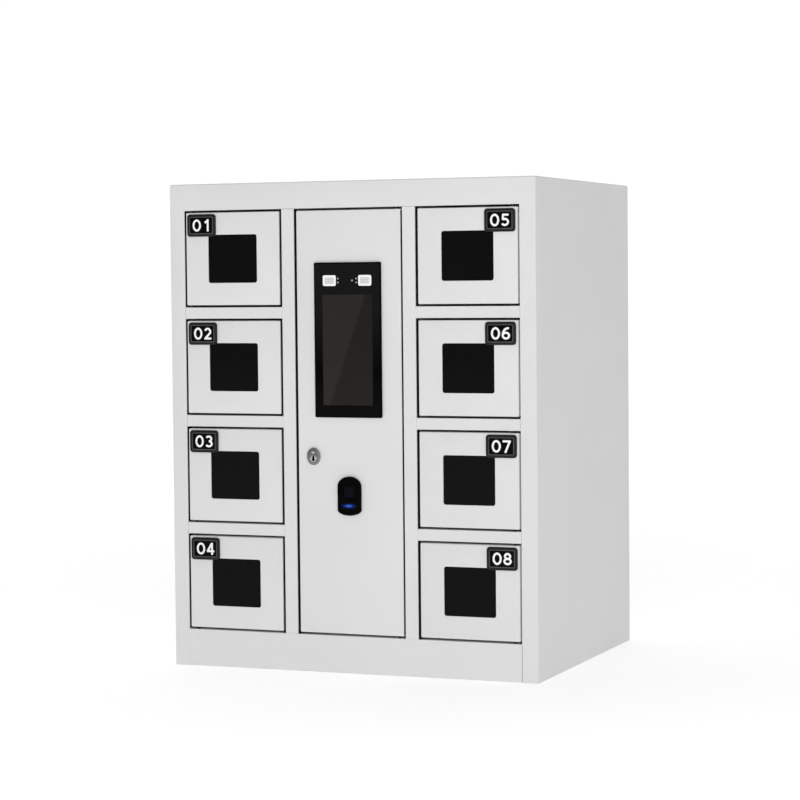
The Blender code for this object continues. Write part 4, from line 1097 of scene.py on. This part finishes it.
LID_THICK, LID_BORDER = mm(1.5, 2)
VENTS, VENT_PITCH, VENT_WIDTH, VENT_FROM, LID_VENT, LID_VENT_DEPTH = 10, *mm(7, 2.6, -20, 70, 1.8)
SIDE_VENT_END, SIDE_VENT_DEPTH = mm(12, 2)
INLET_Z, INLET_PLAY = REAR_LOW.z + 121.7 * MM, 0.2 * MM
INLET_SIZE, INLET_POCKET, INLET_DEPTH, INLET_HOLLOW, INLET_INSIDE = mm(28, 21), *mm(14, 13, 11.5), mm(22, 14)
PRONGS, PRONG_SIZE, PRONG_SEAT, PRONG_SUNK = (mm(-5, -1.5), mm(5, -1.5), mm(0, 2)), mm(1.8, 4), *mm(12, 1.5)


def control_unit():
    """Power and control unit: a vented case with a lid, and the mains inlet."""
    low, high = UNIT_LOW, UNIT_HIGH
    rear = REAR_LOW.y - CLEAR
    middle = (0, (low.z + high.z) / 2)
    lid_y = (low.y, low.y + LID_THICK + LAP)
    adds = [
        block((low.x, high.x), (low.y + LID_THICK, rear), (low.z, high.z), corner=1.5 * MM, axis=None),
        slab(middle, inset((high - low).xz, LID_BORDER), lid_y, corner=2 * MM, rim=0.5 * MM),
    ]
    cuts = [slab((0, INLET_Z), INLET_SIZE, (rear - INLET_POCKET, rear + OVER))]
    side_y = (low.y + SIDE_VENT_END, rear - SIDE_VENT_END)
    for i in range(VENTS):
        z = middle[1] + VENT_FROM + i * VENT_PITCH
        vent_y, vent_z = (low.y - OVER, low.y + LID_VENT_DEPTH), (z, z + VENT_WIDTH)
        cuts.append(slab((0, z), (LID_VENT, VENT_WIDTH), vent_y, corner=1.2 * MM))
        cuts.append(block((low.x - OVER, low.x + SIDE_VENT_DEPTH), side_y, vent_z))
        cuts.append(block((high.x - SIDE_VENT_DEPTH, high.x + OVER), side_y, vent_z))
    case = joined(adds, cuts)
    piece("control_unit_case", case, "cabinet", CASE, "power_control_unit", edge=0.3 * MM)
    body = slab((0, INLET_Z), inset(INLET_SIZE, INLET_PLAY), (rear - INLET_DEPTH, high.y), corner=2 * MM)
    hollow = slab((0, INLET_Z), INLET_INSIDE, (rear - INLET_HOLLOW, high.y + OVER), corner=2.5 * MM)
    piece("mains_inlet", joined([body], [hollow]), "cabinet", BLACK, edge=0.4 * MM)
    pin = joined([slab((0, 0), PRONG_SIZE, (rear - PRONG_SEAT, high.y - PRONG_SUNK), corner=0.4 * MM)])
    pins = copies(pin, [(x, 0, INLET_Z + lift) for x, lift in PRONGS])
    piece("inlet_pins", pins, "cabinet", BRIGHT, edge=0.15 * MM)


def kept_nodes():
    """The CAD nodes that keep their shape."""
    for node in frame["nodes"]:
        if node in ("base_panel", "back_panel") or "shelf" in node or "partition" in node:
            soften(node, PAINT, 0.4 * MM)


# Stage -------------------------------

CAMERA_PLACE, CAMERA_TURN, FOCAL_LENGTH = (1.2737, -3.2126, 0.5187), (21.763, -2.755, -0.535), 112
AWAY = (-0.6, 0.8, 0)  # from the camera's side to the far one
FLOOR_RADIUS, FLOOR_MIDDLE = 25, Vector((-6.5, 16.5, -0.0005))  # it reaches farther behind the object
WHITE = (1, 1, 1, 1)


def camera():
    """The photograph's viewpoint: a little to the right of the front, and just above the middle."""
    lens = bpy.data.cameras.new("camera")
    lens.sensor_width = 36
    lens.lens = FOCAL_LENGTH
    lens.clip_end = 50
    shown = new_object("camera", lens)
    yaw, pitch, roll = (math.radians(a) for a in CAMERA_TURN)
    upright = Matrix.Rotation(math.pi / 2 + pitch, 4, "X")
    turned = Matrix.Rotation(yaw, 4, "Z") @ upright @ Matrix.Rotation(roll, 4, "Z")
    shown.matrix_world = Matrix.Translation(CAMERA_PLACE) @ turned
    bpy.context.scene.camera = shown


def area_light(name, at, towards, size, power):
    light = bpy.data.lights.new(name, "AREA")
    light.shape = "RECTANGLE"
    light.size = light.size_y = size
    light.energy = power
    shown = new_object(name, light)
    shown.location = at
    shown.rotation_euler = (Vector(towards) - Vector(at)).to_track_quat("-Z", "Y").to_euler()


def surroundings():
    """A white studio that is darker on the camera's side, so that black gloss stays black."""
    world = bpy.data.worlds.new("studio")
    nodes = Tree(world)
    place = nodes.add("ShaderNodeTexCoord").outputs["Generated"]
    away = nodes.add("ShaderNodeVectorMath", {0: place, 1: AWAY}, operation="DOT_PRODUCT").outputs["Value"]
    strength = nodes.spread(away, -0.2, 0.95, low=0.33, high=1.03, interpolation_type="SMOOTHSTEP")
    nodes.feed(world.node_tree.nodes["Background"], {"Color": WHITE, "Strength": strength})
    SCENE.world = world


def studio_floor():
    """Matt white floor that glows, more so far from the object, so that it meets the background unseen."""
    nodes = Nodes("floor", 0.87, 0.8, specular=0.1)
    nodes.vary_colour(nodes.noise(40), 0.86, 0.88)
    glow = nodes.spread(nodes.distance(offset=FLOOR_MIDDLE), 0.6, 3.0, low=0.435, high=0.57)
    nodes.feed(nodes.shader, {"Emission Strength": glow, "Emission Color": WHITE})
    return nodes.material


def studio():
    bm = bmesh.new()
    bmesh.ops.create_circle(bm, cap_ends=True, segments=96, radius=FLOOR_RADIUS)
    floor = new_object("floor", mesh_of(bm))
    floor.location = FLOOR_MIDDLE
    floor.data.materials.append(studio_floor())
    surroundings()
    area_light("key", at=(1.1, -2.95, 1.0), towards=(0.1, 0, 0.3), size=1.5, power=28)
    area_light("overhead", at=(0.0, -0.6, 3.4), towards=(0, -0.2, 0), size=3.0, power=6)
    SCENE.view_settings.view_transform = "Standard"


cabinet_shell()
back_screws()
for column_side in (-1, 1):
    charging_panel(column_side)
sockets()
doors()
gap_shade_strips()
seams()
locks()
control_door()
face_terminal()
fingerprint_reader()
cam_lock()
control_unit()
kept_nodes()
camera()
studio()
